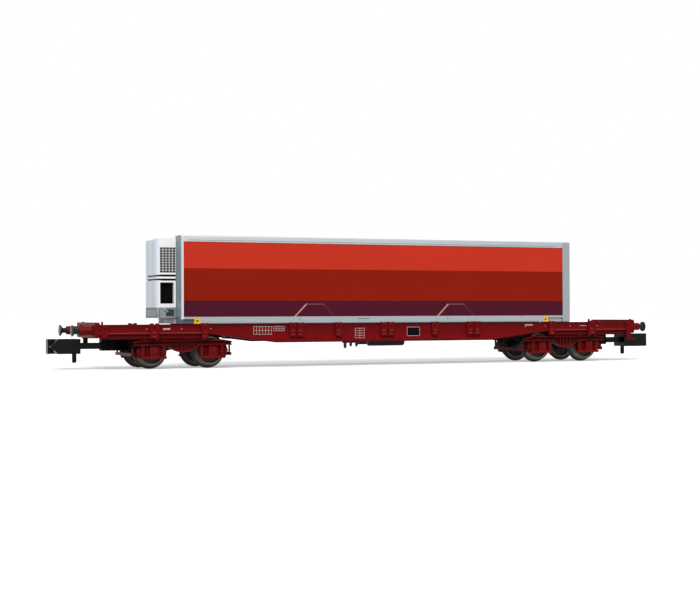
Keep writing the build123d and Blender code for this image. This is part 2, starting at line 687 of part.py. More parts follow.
def buffer_heads():
    """Four buffer heads with the shanks that slide in the casings."""
    cone_x = BUFFER_X - BUFFER_HEAD_T - BUFFER_CONE_L
    with BuildPart() as heads:
        for y in (-BUFFER_SPACING / 2, BUFFER_SPACING / 2):
            plane = Plane((0, y, BUFFER_Z), x_dir=(1, 0, 0), z_dir=(0, -1, 0))
            with BuildSketch(plane):
                with BuildLine():
                    Polyline(
                        (HEADSTOCK_X, 0), (HEADSTOCK_X, BUFFER_SHANK_R), (cone_x, BUFFER_SHANK_R),
                        (BUFFER_X - BUFFER_HEAD_T, BUFFER_R), (BUFFER_X, BUFFER_R), (BUFFER_X, 0), close=True,
                    )
                make_face()
            revolve(axis=Axis((0, y, BUFFER_Z), (1, 0, 0)))
        mirror(about=Plane.YZ)
    return heads.part


def end_deck():
    """Right end deck with the bosses for the bogie's and the coupler's pivots."""
    with BuildPart() as deck:
        block(END_DECK_X, SILL_END_X, -SILL_IN, SILL_IN, END_DECK_Z, UNDER_FLANGE_Z)
        with BuildSketch(Plane.XY.offset(PAD_TOP + PIVOT_GAP)):
            with Locations((PIVOT_X, 0)):
                Circle(PIVOT_BOSS_R)
        extrude(amount=END_DECK_Z - PAD_TOP - PIVOT_GAP)
        with BuildSketch(Plane.XY.offset(PAD_TOP + PIVOT_GAP)):
            with Locations((PIVOT_X, 0)):
                Circle(PIVOT_R + FIT)
        extrude(amount=UNDER_FLANGE_Z - PAD_TOP - PIVOT_GAP, mode=Mode.SUBTRACT)
        with BuildSketch(Plane.XY.offset(ARM_TOP + PIVOT_GAP)):
            with Locations((ARM_PIVOT_X, 0)):
                Circle(ARM_BOSS_R)
        extrude(amount=END_DECK_Z - ARM_TOP - PIVOT_GAP)
        with BuildSketch(Plane.XY.offset(ARM_TOP - ARM_PIVOT_L)):
            with Locations((ARM_PIVOT_X, 0)):
                Circle(ARM_PIVOT_R)
        extrude(amount=ARM_PIVOT_L + PIVOT_GAP)
    return deck.part


def pivot_screws():
    """Screws that hold the bogies: a shank in the deck's boss and a head under the bolster."""
    head_z = BOLSTER_Z - PIVOT_GAP
    with BuildPart() as screws:
        with BuildSketch(Plane.XY.offset(head_z)):
            with Locations((-PIVOT_X, 0), (PIVOT_X, 0)):
                Circle(PIVOT_R)
        extrude(amount=UNDER_FLANGE_Z - head_z)
        with BuildSketch(Plane.XY.offset(head_z)):
            with Locations((-PIVOT_X, 0), (PIVOT_X, 0)):
                Circle(PIVOT_HEAD_R)
        extrude(amount=-PIVOT_HEAD_T)
    return screws.part


def centre_sill():
    """Box beam along the middle, between the end decks."""
    with BuildPart() as beam:
        block(-END_DECK_X, END_DECK_X, -CENTRE_SILL_W / 2, CENTRE_SILL_W / 2, CENTRE_SILL_Z, UNDER_FLANGE_Z)
    return beam.part


def cross_beams():
    """Short beams from the centre sill out to the side sills."""
    with BuildPart() as beams:
        for x in CROSS_BEAM_X:
            for side in (-1, 1):
                block(x - CROSS_BEAM_W / 2, x + CROSS_BEAM_W / 2, side * CENTRE_SILL_W / 2, side * SILL_IN,
                      LOWER_FLANGE_TOP, UNDER_FLANGE_Z)
    return beams.part


def container_pads():
    """Four pads on the sills, each with a spigot that holds a corner casting."""
    with BuildPart() as pads:
        for x in (FRONT_CASTING_X, REAR_CASTING_X):
            for y in (-SPIGOT_Y, SPIGOT_Y):
                block(x - PAD_L / 2, x + PAD_L / 2, y - PAD_W / 2, y + PAD_W / 2, DECK_Z, CONTAINER_Z)
                with BuildSketch(Plane.XY.offset(CONTAINER_Z)):
                    with Locations((x, y)):
                        Circle(SPIGOT_R)
                extrude(amount=SPIGOT_H)
    return pads.part


def stakes():
    """Near fold-up stakes: notched plates with two slots, on a standoff from the sill."""
    top = DECK_Z + STAKE_RISE
    plane = Plane.XZ.offset(STAKE_IN)
    with BuildPart() as plates:
        for group_x, count, width, drop in STAKES:
            foot = DECK_Z - drop
            for place in range(count):
                x = group_x + (place - (count - 1) / 2) * (width + STAKE_PAIR_GAP)
                with BuildSketch(plane):
                    with Locations((x, (foot + top) / 2)):
                        Rectangle(width, top - foot)
                    with Locations((x, top)):
                        Circle(STAKE_NOTCH_R, mode=Mode.SUBTRACT)
                    with Locations((x, top - STAKE_HOLE_DROP)):
                        Circle(STAKE_HOLE_R, mode=Mode.SUBTRACT)
                extrude(amount=STAKE_T)
                block(x - width / 3, x + width / 3, -STAKE_IN, -SILL_OUT, LOWER_FLANGE_TOP, DECK_Z)
                with BuildSketch(Plane.XZ.offset(STAKE_IN + STAKE_T)):
                    with Locations((x, foot + (top - foot) * 0.2), (x, foot + (top - foot) * 0.45)):
                        Rectangle(STAKE_SLOT_W, STAKE_SLOT_H)
                extrude(amount=-STAKE_SLOT_D, mode=Mode.SUBTRACT)
    return plates.part


def corner_plates():
    """Corner plates with lamp irons; two opposite corners also carry a shunter's step."""
    x1 = SILL_END_X - CORNER_INSET
    x0 = x1 - CORNER_PLATE_W
    y1 = SILL_OUT + SILL_LIP + CORNER_PLATE_T
    y0 = SILL_OUT + SILL_LIP
    strap_x = (x0 + x1) / 2
    step_x = strap_x + STEP_SHIFT
    with BuildPart() as plates:
        for end in (-1, 1):
            for side in (-1, 1):
                block(end * x0, end * x1, side * y0, side * y1, CORNER_PLATE_Z, DECK_Z)
                block(end * x0, end * x1, side * SILL_OUT, side * y0, LOWER_FLANGE_TOP, DECK_Z)
                block(end * (x1 - LAMP_IRON_W), end * x1, side * SILL_OUT, side * y1,
                      DECK_Z, DECK_Z + LAMP_IRON_RISE)
                face = Plane((end * strap_x, side * y1, 0), x_dir=(1, 0, 0), z_dir=(0, -1, 0))
                with BuildSketch(face):
                    with Locations((0, (LOWER_FLANGE_TOP + DECK_Z) / 2)):
                        Circle(CORNER_HOLE_R)
                extrude(amount=side * CORNER_PLATE_T, mode=Mode.SUBTRACT)
            side = -end
            block(end * (strap_x - STEP_STRAP_W / 2), end * (strap_x + STEP_STRAP_W / 2),
                  side * y0, side * y1, STEP_Z, CORNER_PLATE_Z)
            block(end * (step_x - STEP_L / 2), end * (step_x + STEP_L / 2),
                  side * (y1 - STEP_D), side * y1, STEP_Z - STEP_T, STEP_Z)
    return plates.part


def brake_levers():
    """Change-over levers on a rail under the near side sill."""
    y0 = SILL_OUT - LEVER_T
    with BuildPart() as levers:
        block(*LEVER_RAIL_X, -SILL_OUT, -y0, BELLY_Z - LEVER_RAIL_T, BELLY_Z)
        for x, width, length in LEVERS:
            foot = BELLY_Z - length
            with BuildSketch(Plane.XZ.offset(SILL_OUT)):
                with BuildLine():
                    Polyline(
                        (x - width / 2, BELLY_Z - LEVER_RAIL_T), (x - width / 2, foot + width / 2), (x, foot),
                        (x + width / 2, foot + width / 2), (x + width / 2, BELLY_Z - LEVER_RAIL_T), close=True,
                    )
                make_face()
            extrude(amount=-LEVER_T)
    return levers.part


def air_tank():
    """Air reservoir along the near side, strapped up to the cross beams."""
    strap_x = [x for x in CROSS_BEAM_X if abs(x - TANK_X) < TANK_L / 2]
    with BuildPart() as tank:
        with BuildSketch(Plane.YZ.offset(TANK_X - TANK_L / 2)):
            with Locations((-TANK_Y, TANK_Z)):
                Circle(TANK_R)
        extrude(amount=TANK_L)
        fillet(tank.edges().filter_by(GeomType.CIRCLE), radius=TANK_END_R)
        for x in strap_x:
            block(x - STRAP_W / 2, x + STRAP_W / 2, -TANK_Y - STRAP_W / 2, -TANK_Y + STRAP_W / 2,
                  TANK_Z, LOWER_FLANGE_TOP)
    return tank.part


def brake_cylinder():
    """Brake cylinder along the far side with its push rod, hung from a cross beam."""
    hang_x = min(CROSS_BEAM_X, key=abs)
    with BuildPart() as cylinder:
        with BuildSketch(Plane.YZ.offset(hang_x - CYLINDER_L / 2)):
            with Locations((TANK_Y, TANK_Z)):
                Circle(CYLINDER_R)
        extrude(amount=CYLINDER_L)
        with BuildSketch(Plane.YZ.offset(hang_x)):
            with Locations((TANK_Y, TANK_Z)):
                Circle(ROD_R)
        extrude(amount=CYLINDER_L * 1.5)
        block(hang_x - STRAP_W / 2, hang_x + STRAP_W / 2, TANK_Y - STRAP_W / 2, TANK_Y + STRAP_W / 2,
              TANK_Z, LOWER_FLANGE_TOP)
    return cylinder.part


# Couplers, drawn at the right end

def coupler_arm():
    """Swinging arm with a socket for the coupler's shank and a guide tail."""
    with BuildPart() as arm:
        with BuildSketch(Plane.XY.offset(ARM_Z)):
            with Locations((ARM_PIVOT_X, 0)):
                Circle(ARM_W / 2)
            with Locations(((ARM_PIVOT_X + ARM_MOUTH_X) / 2, 0)):
                Rectangle(ARM_L, ARM_W)
            with Locations((ARM_PIVOT_X - ARM_TAIL_L / 2, 0)):
                Rectangle(ARM_TAIL_L, ARM_TAIL_W)
        extrude(amount=ARM_H)
        with BuildSketch(Plane.XY.offset(ARM_TOP)):
            with Locations((ARM_PIVOT_X, 0)):
                Circle(ARM_PIVOT_R + RUNNING_GAP)
        extrude(amount=-(ARM_PIVOT_L + RUNNING_GAP), mode=Mode.SUBTRACT)
        block(ARM_MOUTH_X - SOCKET_L, ARM_MOUTH_X, -SHANK_W / 2 - FIT, SHANK_W / 2 + FIT,
              SHANK_Z - FIT, SHANK_Z + SHANK_H + FIT, mode=Mode.SUBTRACT)
    return arm.part


def coupler_head():
    """Hook-and-loop coupler head, open below, with its shank and tail pin."""
    top = HEAD_Z + HEAD_H
    nose_x = HEAD_X - NOSE_L
    mid_z = HEAD_Z + HEAD_H / 2
    half = HEAD_W / 2
    pin_x = HEAD_BACK_X + TAIL_PIN_INSET
    with BuildPart() as head:
        block(HEAD_BACK_X, nose_x, -half, half, HEAD_Z, top)
        block(HEAD_BACK_X + TAIL_PIN_INSET * 2, nose_x - HEAD_WALL, -half + HEAD_WALL, half - HEAD_WALL,
              HEAD_Z, mid_z, mode=Mode.SUBTRACT)
        block(nose_x, HEAD_X, -half, -half + LOOP_W, HEAD_Z, top)
        block(nose_x, HEAD_X - LOOP_BAR_T, -half + HEAD_WALL, -half + LOOP_W, HEAD_Z, top - HEAD_WALL,
              mode=Mode.SUBTRACT)
        with BuildSketch(Plane.XZ.offset(-half)):
            with BuildLine():
                Polyline(
                    (nose_x, HEAD_Z), (HEAD_X - NOSE_L * 0.65, HEAD_Z), (HEAD_X - FIT, mid_z),
                    (HEAD_X - NOSE_L * 0.65, top), (nose_x, top), close=True,
                )
            make_face()
        extrude(amount=HOOK_W)
        block(ARM_MOUTH_X - SOCKET_L + RUNNING_GAP, HEAD_BACK_X, -SHANK_W / 2, SHANK_W / 2,
              SHANK_Z, SHANK_Z + SHANK_H)
        with BuildSketch(Plane.XY.offset(mid_z)):
            with Locations((pin_x, 0)):
                Circle(TAIL_PIN_R)
        extrude(amount=TAIL_PIN_Z - mid_z)
        fillet(head.edges().filter_by(GeomType.CIRCLE).sort_by(Axis.Z)[0], radius=TAIL_PIN_R * 0.7)
    return head.part


# Container

def posts(x0, x1):
    """Corner posts of one end, rounded at the outer top and foot."""
    with BuildPart() as pair:
        with BuildSketch(Plane.XY.offset(CONTAINER_Z)):
            with Locations(((x0 + x1) / 2, -(CONTAINER_OUT + POST_IN) / 2)):
                Rectangle(x1 - x0, POST_D)
        extrude(amount=CONTAINER_H)
        outer = pair.edges().filter_by(Axis.X).group_by(Axis.Y)[0]
        fillet(outer.sort_by(Axis.Z)[-1], radius=POST_CORNER_R)
        mirror(about=Plane.XZ)
    return pair.part


def bottom_rails():
    """Bottom side rails, notched for the castings and undercut outside them."""
    with BuildPart() as rails:
        block(RAIL_X0, RAIL_X1, -CONTAINER_OUT, -RAIL_IN, CONTAINER_Z, PANEL_Z0)
        for x in (FRONT_CASTING_X, REAR_CASTING_X):
            block(x - CASTING_L / 2, x + CASTING_L / 2, -CONTAINER_OUT, -RAIL_IN,
                  CONTAINER_Z, CONTAINER_Z + CASTING_H, mode=Mode.SUBTRACT)
        for x0, x1 in ((RAIL_X0, FRONT_CASTING_X - CASTING_L / 2),
                       (REAR_CASTING_X + CASTING_L / 2, RAIL_X1)):
            block(x0, x1, -CONTAINER_OUT, -CONTAINER_OUT + UNDERCUT_D,
                  CONTAINER_Z, CONTAINER_Z + UNDERCUT_H, mode=Mode.SUBTRACT)
        mirror(about=Plane.XZ)
    return rails.part


def top_rails():
    """Top side rails with a rounded outer edge."""
    with BuildPart() as rails:
        block(RAIL_X0, RAIL_X1, -CONTAINER_OUT, -RAIL_IN, PANEL_Z1, CONTAINER_TOP)
        outer = rails.edges().filter_by(Axis.X).group_by(Axis.Y)[0]
        fillet(outer.sort_by(Axis.Z)[-1], radius=POST_CORNER_R)
        mirror(about=Plane.XZ)
    return rails.part


def end_beams(z0, z1):
    """Header or sill between the posts of both ends."""
    with BuildPart() as beams:
        block(FRONT_X, RAIL_X0, -POST_IN, POST_IN, z0, z1)
        block(RAIL_X1, REAR_X, -POST_IN, POST_IN, z0, z1)
    return beams.part


def castings():
    """Yellow corner castings with a hole for the spigot and one in the side."""
    with BuildPart() as blocks:
        for x in (FRONT_CASTING_X, REAR_CASTING_X):
            block(x - CASTING_L / 2, x + CASTING_L / 2, -CONTAINER_OUT - CASTING_PROUD, -RAIL_IN,
                  CONTAINER_Z, CONTAINER_Z + CASTING_H)
            with BuildSketch(Plane.XY.offset(CONTAINER_Z)):
                with Locations((x, -SPIGOT_Y)):
                    Circle(SPIGOT_R + RUNNING_GAP)
            extrude(amount=SPIGOT_H + RUNNING_GAP, mode=Mode.SUBTRACT)
            with BuildSketch(Plane.XZ.offset(CONTAINER_OUT + CASTING_PROUD)):
                with Locations((x, CONTAINER_Z + CASTING_H / 2)):
                    SlotOverall(CASTING_HOLE_W, CASTING_HOLE_H)
            extrude(amount=-(CASTING_PROUD + RAIL_D / 2), mode=Mode.SUBTRACT)
        mirror(about=Plane.XZ)
    return blocks.part


def side_panel():
    """Near side wall, set back from the rails, with two raised grapple outlines."""
    face_y = CONTAINER_OUT - PANEL_SETBACK
    with BuildPart() as panel:
        block(RAIL_X0, RAIL_X1, -face_y, -face_y + PANEL_T, PANEL_Z0, PANEL_Z1)
        for x in (-GRAPPLE_SPACING / 2, GRAPPLE_SPACING / 2):
            with BuildSketch(Plane.XZ.offset(face_y)):
                with BuildLine():
                    Polyline(
                        (x - GRAPPLE_FOOT / 2, PANEL_Z0), (x - GRAPPLE_HEAD / 2, PANEL_Z0 + GRAPPLE_H),
                        (x + GRAPPLE_HEAD / 2, PANEL_Z0 + GRAPPLE_H), (x + GRAPPLE_FOOT / 2, PANEL_Z0),
                        close=True,
                    )
                make_face()
                slope = (GRAPPLE_FOOT - GRAPPLE_HEAD) / 2 / GRAPPLE_H
                bead_x = GRAPPLE_BEAD * (1 + slope ** 2) ** 0.5
                with BuildLine():
                    Polyline(
                        (x - GRAPPLE_FOOT / 2 + bead_x, PANEL_Z0),
                        (x - GRAPPLE_HEAD / 2 + bead_x - slope * GRAPPLE_BEAD,
                         PANEL_Z0 + GRAPPLE_H - GRAPPLE_BEAD),
                        (x + GRAPPLE_HEAD / 2 - bead_x + slope * GRAPPLE_BEAD,
                         PANEL_Z0 + GRAPPLE_H - GRAPPLE_BEAD),
                        (x + GRAPPLE_FOOT / 2 - bead_x, PANEL_Z0), close=True,
                    )
                make_face(mode=Mode.SUBTRACT)
            extrude(amount=GRAPPLE_PROUD)
    return panel.part


def roof():
    """Roof sheet between the top rails."""
    with BuildPart() as sheet:
        block(RAIL_X0, RAIL_X1, -RAIL_IN, RAIL_IN, CONTAINER_TOP - ROOF_DROP - ROOF_T,
              CONTAINER_TOP - ROOF_DROP)
    return sheet.part


def floor():
    """Floor between the bottom rails."""
    with BuildPart() as sheet:
        block(RAIL_X0, RAIL_X1, -RAIL_IN, RAIL_IN, CONTAINER_Z + FLOOR_RISE,
              CONTAINER_Z + FLOOR_RISE + FLOOR_T)
    return sheet.part


def front_wall():
    """Front wall behind the refrigeration unit."""
    with BuildPart() as wall:
        block(FRONT_X + PANEL_SETBACK, FRONT_X + PANEL_SETBACK + PANEL_T, -POST_IN, POST_IN,
              PANEL_Z0, PANEL_Z1)
    return wall.part


def door():
    """Near rear door leaf."""
    with BuildPart() as leaf:
        block(REAR_X - DOOR_SETBACK - DOOR_T, REAR_X - DOOR_SETBACK, -POST_IN, -DOOR_GAP / 2,
              PANEL_Z0, PANEL_Z1)
    return leaf.part


def lock_rods():
    """Two locking rods on each door leaf, run in keepers on the header and the sill."""
    rod_x = REAR_X + LOCK_ROD_R + LOCK_ROD_PROUD
    with BuildPart() as rods:
        for inset in LOCK_ROD_INSETS:
            with BuildSketch(Plane.XY.offset(CONTAINER_Z + BOTTOM_RAIL_H / 2)):
                with Locations((rod_x, -inset)):
                    RegularPolygon(LOCK_ROD_R, LOCK_ROD_SIDES)
            extrude(amount=CONTAINER_H - (BOTTOM_RAIL_H + TOP_RAIL_H) / 2)
            for z in (CONTAINER_Z + BOTTOM_RAIL_H * 0.7, CONTAINER_TOP - TOP_RAIL_H * 0.7):
                block(REAR_X, rod_x, -inset - LOCK_KEEPER_W / 2, -inset + LOCK_KEEPER_W / 2,
                      z - LOCK_KEEPER_H / 2, z + LOCK_KEEPER_H / 2)
        mirror(about=Plane.XZ)
    return rods.part


# Refrigeration unit

def unit_core():
    """Dark machinery block that shows through the grilles and the windows."""
    with BuildPart() as core:
        block(UNIT_X + UNIT_WALL, FRONT_X, -UNIT_W / 2 + UNIT_WALL, UNIT_W / 2 - UNIT_WALL,
              UNIT_Z1 + UNIT_WALL, UNIT_Z4 - UNIT_SLOPE_H - UNIT_WALL)
    return core.part


def unit_upper(core):
    """Upper cover with a sloping top, rounded to both sides, and a grille on each side."""
    grille_x = FRONT_X - GRILLE_BACK - (GRILLE_COLUMNS - 1) * GRILLE_PITCH_X / 2
    grille_z = UNIT_Z3 + GRILLE_FOOT + (GRILLE_ROWS - 1) * GRILLE_PITCH_Z / 2
    with BuildPart() as cover:
        with BuildSketch(Plane.XZ.offset(-UNIT_W / 2)):
            with BuildLine():
                Polyline(
                    (UNIT_X, UNIT_Z3), (FRONT_X, UNIT_Z3), (FRONT_X, UNIT_Z4),
                    (UNIT_X + UNIT_SLOPE_L, UNIT_Z4), (UNIT_X, UNIT_Z4 - UNIT_SLOPE_H), close=True,
                )
            make_face()
        extrude(amount=UNIT_W)
        fillet(cover.edges().filter_by(Axis.Z).group_by(Axis.X)[0], radius=UNIT_CORNER_R)
        with BuildSketch(Plane.YZ.offset(UNIT_X)):
            with Locations((0, (UNIT_Z3 + UNIT_Z4) / 2)):
                section = Rectangle(UNIT_W, UNIT_UPPER_H)
            fillet(section.vertices().group_by(Axis.Y)[-1], radius=UNIT_TOP_R)
        extrude(amount=UNIT_D, mode=Mode.INTERSECT)
        add(core, mode=Mode.SUBTRACT)
        with BuildSketch(Plane.XZ.offset(-UNIT_W / 2)):
            with Locations((grille_x, grille_z)):
                with GridLocations(GRILLE_PITCH_X, GRILLE_PITCH_Z, GRILLE_COLUMNS, GRILLE_ROWS):
                    Rectangle(GRILLE_HOLE_W, GRILLE_HOLE_H)
        extrude(amount=UNIT_W, mode=Mode.SUBTRACT)
    return cover.part


def unit_lower(core):
    """Lower cover with a window on each side."""
    window_x = FRONT_X - WINDOW_BACK - WINDOW_W / 2
    window_z = UNIT_Z1 + WINDOW_FOOT + WINDOW_H / 2
    with BuildPart() as cover:
        block(UNIT_X, FRONT_X, -UNIT_W / 2, UNIT_W / 2, UNIT_Z1, UNIT_Z2)
        fillet(cover.edges().filter_by(Axis.Z).group_by(Axis.X)[0], radius=UNIT_CORNER_R)
        add(core, mode=Mode.SUBTRACT)
        with BuildSketch(Plane.XZ.offset(-UNIT_W / 2)):
            with Locations((window_x, window_z)):
                Rectangle(WINDOW_W, WINDOW_H)
        extrude(amount=UNIT_W, mode=Mode.SUBTRACT)
    return cover.part


def unit_band(core):
    """Set-back band between the two covers, with a ridge round its middle."""
    ridge_z = (UNIT_Z2 + UNIT_Z3) / 2
    half = UNIT_W / 2
    with BuildPart() as band:
        block(UNIT_X + UNIT_BAND_SETBACK, FRONT_X, -half + UNIT_BAND_SETBACK, half - UNIT_BAND_SETBACK,
              UNIT_Z2, UNIT_Z3)
        fillet(band.edges().filter_by(Axis.Z).group_by(Axis.X)[0], radius=UNIT_CORNER_R - UNIT_BAND_SETBACK)
        with BuildSketch(Plane.XY.offset(ridge_z - UNIT_RIDGE_H / 2)):
            with BuildLine():
                Polyline((UNIT_X, -half), (FRONT_X, -half), (FRONT_X, half), (UNIT_X, half), close=True)
            ridge = make_face()
            fillet(ridge.vertices().group_by(Axis.X)[0], radius=UNIT_CORNER_R)
        extrude(amount=UNIT_RIDGE_H)
        add(core, mode=Mode.SUBTRACT)
    return band.part


def unit_base():
    """Grey foot of the unit, under the lower cover."""
    inset = UNIT_BAND_SETBACK / 3
    with BuildPart() as base:
        block(UNIT_X + inset, FRONT_X, -UNIT_W / 2 + inset, UNIT_W / 2 - inset, UNIT_Z0, UNIT_Z1)
        fillet(base.edges().filter_by(Axis.Z).group_by(Axis.X)[0], radius=UNIT_BASE_CORNER_R)
    return base.part


def write_wheelsets_and_bogies():
    for end_name, end in ENDS:
        centre_x = end * PIVOT_X
        save(side_frames(centre_x), f"bogie_{end_name}_side_frames")
        save(bolster(centre_x), f"bogie_{end_name}_bolster")
        save(axle_boxes(centre_x), f"bogie_{end_name}_axle_boxes")
        save(springs(centre_x), f"bogie_{end_name}_springs")
        save(brake_beams(centre_x), f"bogie_{end_name}_brake_beams")
        for place, way in (("outer", end), ("inner", -end)):
            axle_x = centre_x + way * HALF_BASE
            save(wheels(axle_x), f"wheels_{end_name}_{place}")
            save(axle(axle_x), f"axle_{end_name}_{place}")


def write_underframe():
    for side_name, side in SIDES:
        save(other_side(side_sill(), side), f"side_sill_{side_name}")
        save(other_side(stakes(), side), f"stakes_{side_name}")
    for end_name, end in ENDS:
        save(turned_end(headstock(), end), f"headstock_{end_name}")
        save(turned_end(end_deck(), end), f"end_deck_{end_name}")
        save(turned_end(coupler_arm(), end), f"coupler_arm_{end_name}")
        save(turned_end(coupler_head(), end), f"coupler_head_{end_name}")
    save(pivot_screws(), "pivot_screws")
    save(centre_sill(), "centre_sill")
    save(cross_beams(), "cross_beams")
    save(container_pads(), "container_pads")
    save(buffer_heads(), "buffer_heads")
    save(corner_plates(), "corner_plates")
    save(brake_levers(), "brake_levers")
    save(air_tank(), "air_tank")
    save(brake_cylinder(), "brake_cylinder")


def write_container():
    save(posts(FRONT_X, RAIL_X0), "container_front_posts")
    save(posts(RAIL_X1, REAR_X), "container_rear_posts")
    save(bottom_rails(), "container_bottom_rails")
    save(top_rails(), "container_top_rails")
    save(end_beams(PANEL_Z1, CONTAINER_TOP), "container_headers")
    save(end_beams(CONTAINER_Z, PANEL_Z0), "container_end_sills")
    save(castings(), "container_castings")
    save(roof(), "container_roof")
    save(floor(), "container_floor")
    save(front_wall(), "container_front_wall")
    save(lock_rods(), "container_lock_rods")
    for side_name, side in SIDES:
        save(other_side(side_panel(), side), f"container_side_{side_name}")
        save(other_side(door(), side), f"container_door_{side_name}")
    core = unit_core()
    save(core, "unit_core")
    save(unit_upper(core), "unit_upper_cover")
    save(unit_lower(core), "unit_lower_cover")
    save(unit_band(core), "unit_band")
    save(unit_base(), "unit_base")


os.makedirs("parts", exist_ok=True)
write_wheelsets_and_bogies()
write_underframe()
write_container()
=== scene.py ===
"""Finishes, small fittings and studio for a model container flatcar.

Lengths are in metres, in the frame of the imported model: X along the wagon with the cooling unit at
-X, the side that shows at -Y, Z up, and the wheels' flanges on Z = 0.
"""
from math import cos, pi, radians, sin

import bmesh
import bpy
from mathutils import Matrix, Vector


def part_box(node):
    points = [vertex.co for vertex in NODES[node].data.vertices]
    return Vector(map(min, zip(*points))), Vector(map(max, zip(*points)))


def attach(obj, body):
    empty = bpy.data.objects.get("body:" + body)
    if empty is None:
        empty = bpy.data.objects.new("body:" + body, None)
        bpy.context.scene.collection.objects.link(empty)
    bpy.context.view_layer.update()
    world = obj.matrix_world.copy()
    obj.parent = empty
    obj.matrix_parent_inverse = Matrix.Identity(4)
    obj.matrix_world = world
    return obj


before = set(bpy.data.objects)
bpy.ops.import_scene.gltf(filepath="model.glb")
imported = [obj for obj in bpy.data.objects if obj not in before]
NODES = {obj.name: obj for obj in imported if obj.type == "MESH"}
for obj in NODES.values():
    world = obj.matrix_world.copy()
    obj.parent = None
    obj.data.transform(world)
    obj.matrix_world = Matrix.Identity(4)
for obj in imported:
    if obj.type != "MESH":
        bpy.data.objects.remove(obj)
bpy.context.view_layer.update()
MM = 0.001
SIDES = (-1, 1)
SIDE_NAMES = ("near", "far")
ENDS = ("left", "right")

bl_info = {
    "name": "Model flatcar with container",
    "version": (1, 0, 0),
    "blender": (4, 5, 0),
    "location": "View3D > Sidebar > Flatcar",
    "description": "Finishes, small fittings and a studio for a model container flatcar",
    "category": "Object",
}


# Settings

def linear(*screen):
    """A colour as a screen shows it, 0 to 255, in linear light."""
    shares = [value / 255 for value in screen]
    return tuple(s / 12.92 if s <= 0.04045 else ((s + 0.055) / 1.055) ** 2.4 for s in shares)


def colour(name, description, *screen):
    return bpy.props.FloatVectorProperty(name=name, description=description, default=linear(*screen),
                                         subtype="COLOR", size=3, min=0.0, max=1.0)


def length(name, description, millimetres):
    return bpy.props.FloatProperty(name=name, description=description, default=millimetres * MM,
                                   unit="LENGTH", precision=6)


def angle(name, description, degrees):
    return bpy.props.FloatProperty(name=name, description=description, default=radians(degrees),
                                   subtype="ANGLE")


def number(name, description, value):
    return bpy.props.FloatProperty(name=name, description=description, default=value)


class FlatcarColours(bpy.types.PropertyGroup):
    """Paints and plastics of the wagon, the container and the cooling unit."""
    frame_red: colour("Frame red", "Satin paint of the underframe", 107, 11, 15)
    bogie_red: colour("Bogie red", "Moulded bogie frames", 111, 18, 20)
    plum: colour("Brake gear", "Levers under the sill", 58, 28, 34)
    wheel_dark: colour("Wheel", "Blackened wheels", 20, 18, 18)
    wheel_tread: colour("Tread", "Bare metal of the rims", 122, 112, 102)
    steel: colour("Steel", "Axles and screws", 120, 116, 110)
    coupler_black: colour("Coupler", "Black plastic of the couplers", 7, 9, 13)
    buffer_grey: colour("Buffers", "Buffer heads", 36, 44, 49)
    band_red: colour("Upper band", "Bright red band of the container", 199, 51, 33)
    band_brick: colour("Middle band", "Brick red band of the container", 139, 25, 2)
    band_plum: colour("Lower band", "Plum band of the container", 75, 13, 35)
    # Pale tone of the grapple beads, with a painted highlight on their legs toward -X
    bead_pink: colour("Grapple bead", "Worn bead round the grapple places", 206, 150, 142)
    rail_silver: colour("Rails", "Silver paint of the container's frame", 170, 177, 182)
    top_silver: colour("Top rails", "Pale silver of the top rails and headers", 210, 215, 217)
    # Painted shade: the top rails darker and cooler toward the doors
    top_shade: colour("Top rails' end", "Cooler silver of the top rails toward the doors", 180, 195, 200)
    seam_grey: colour("Rail seams", "Fastenings along the container's rails", 122, 128, 134)
    rail_white: colour("White", "White paint of posts and roof", 232, 233, 233)
    front_grey: colour("Front wall", "Grey front wall of the container", 138, 152, 160)
    casting_yellow: colour("Castings", "Yellow corner castings", 236, 186, 28)
    unit_white: colour("Unit", "White covers of the cooling unit", 250, 250, 250)
    # Painted cool shade: the unit's white front as it looks in the cool light along -X
    unit_cool: colour("Unit's front", "Cooler white of the unit's front", 222, 231, 241)
    unit_grey: colour("Unit base", "Grey foot of the cooling unit", 146, 153, 163)
    unit_dark: colour("Unit inside", "Dark machinery behind the grilles", 6, 7, 9)
    print_white: colour("Print", "White printed outlines", 200, 172, 170)
    # Black of the tank and the brake cylinder, and painted shade in the stake holes and the lugs' pins
    board_black: colour("Black", "Tank, brake cylinder, stake holes and pins", 16, 15, 18)
    brass: colour("Pipe elbows", "Pipe elbows on the unit's foot", 178, 176, 168)
    # Painted highlight on the top edge of the sills' lips at the ends, and on the lips under the stakes'
    # slots
    worn_red: colour("Worn edges", "Pale edges of the stakes' slots", 178, 92, 92)
    # Also the dark strips of painted shade in the gap under the container
    rubber: colour("Rubber", "Door seals and the packing under the container", 24, 20, 22)
    # Also the painted shade on the undercut front ends of the bottom rails
    slate: colour("Slate", "Container's front foot and the panels of the unit's foot", 78, 88, 98)


class FlatcarSizes(bpy.types.PropertyGroup):
    """Small sizes that only the looks need."""
    edge: length("Edge", "Rounding of the moulded edges", 0.045)
    fine_edge: length("Fine edge", "Rounding of small and thin pieces", 0.02)
    rivet_radius: length("Rivet radius", "Radius of the frame's rivets", 0.09)
    rivet_height: length("Rivet height", "How far a rivet stands proud", 0.05)
    rivet_pitch: length("Rivet pitch", "Between two rivets of a row", 0.9)
    rail_pitch: length("Rail pitch", "Between the fastenings of the container's rails", 0.46)
    print_line: length("Print line", "Width of a printed outline", 0.08)
    print_proud: length("Print thickness", "How far print stands proud", 0.012)
    chequer_pitch: length("Chequer pitch", "Between the lozenges of the end decks", 0.62)


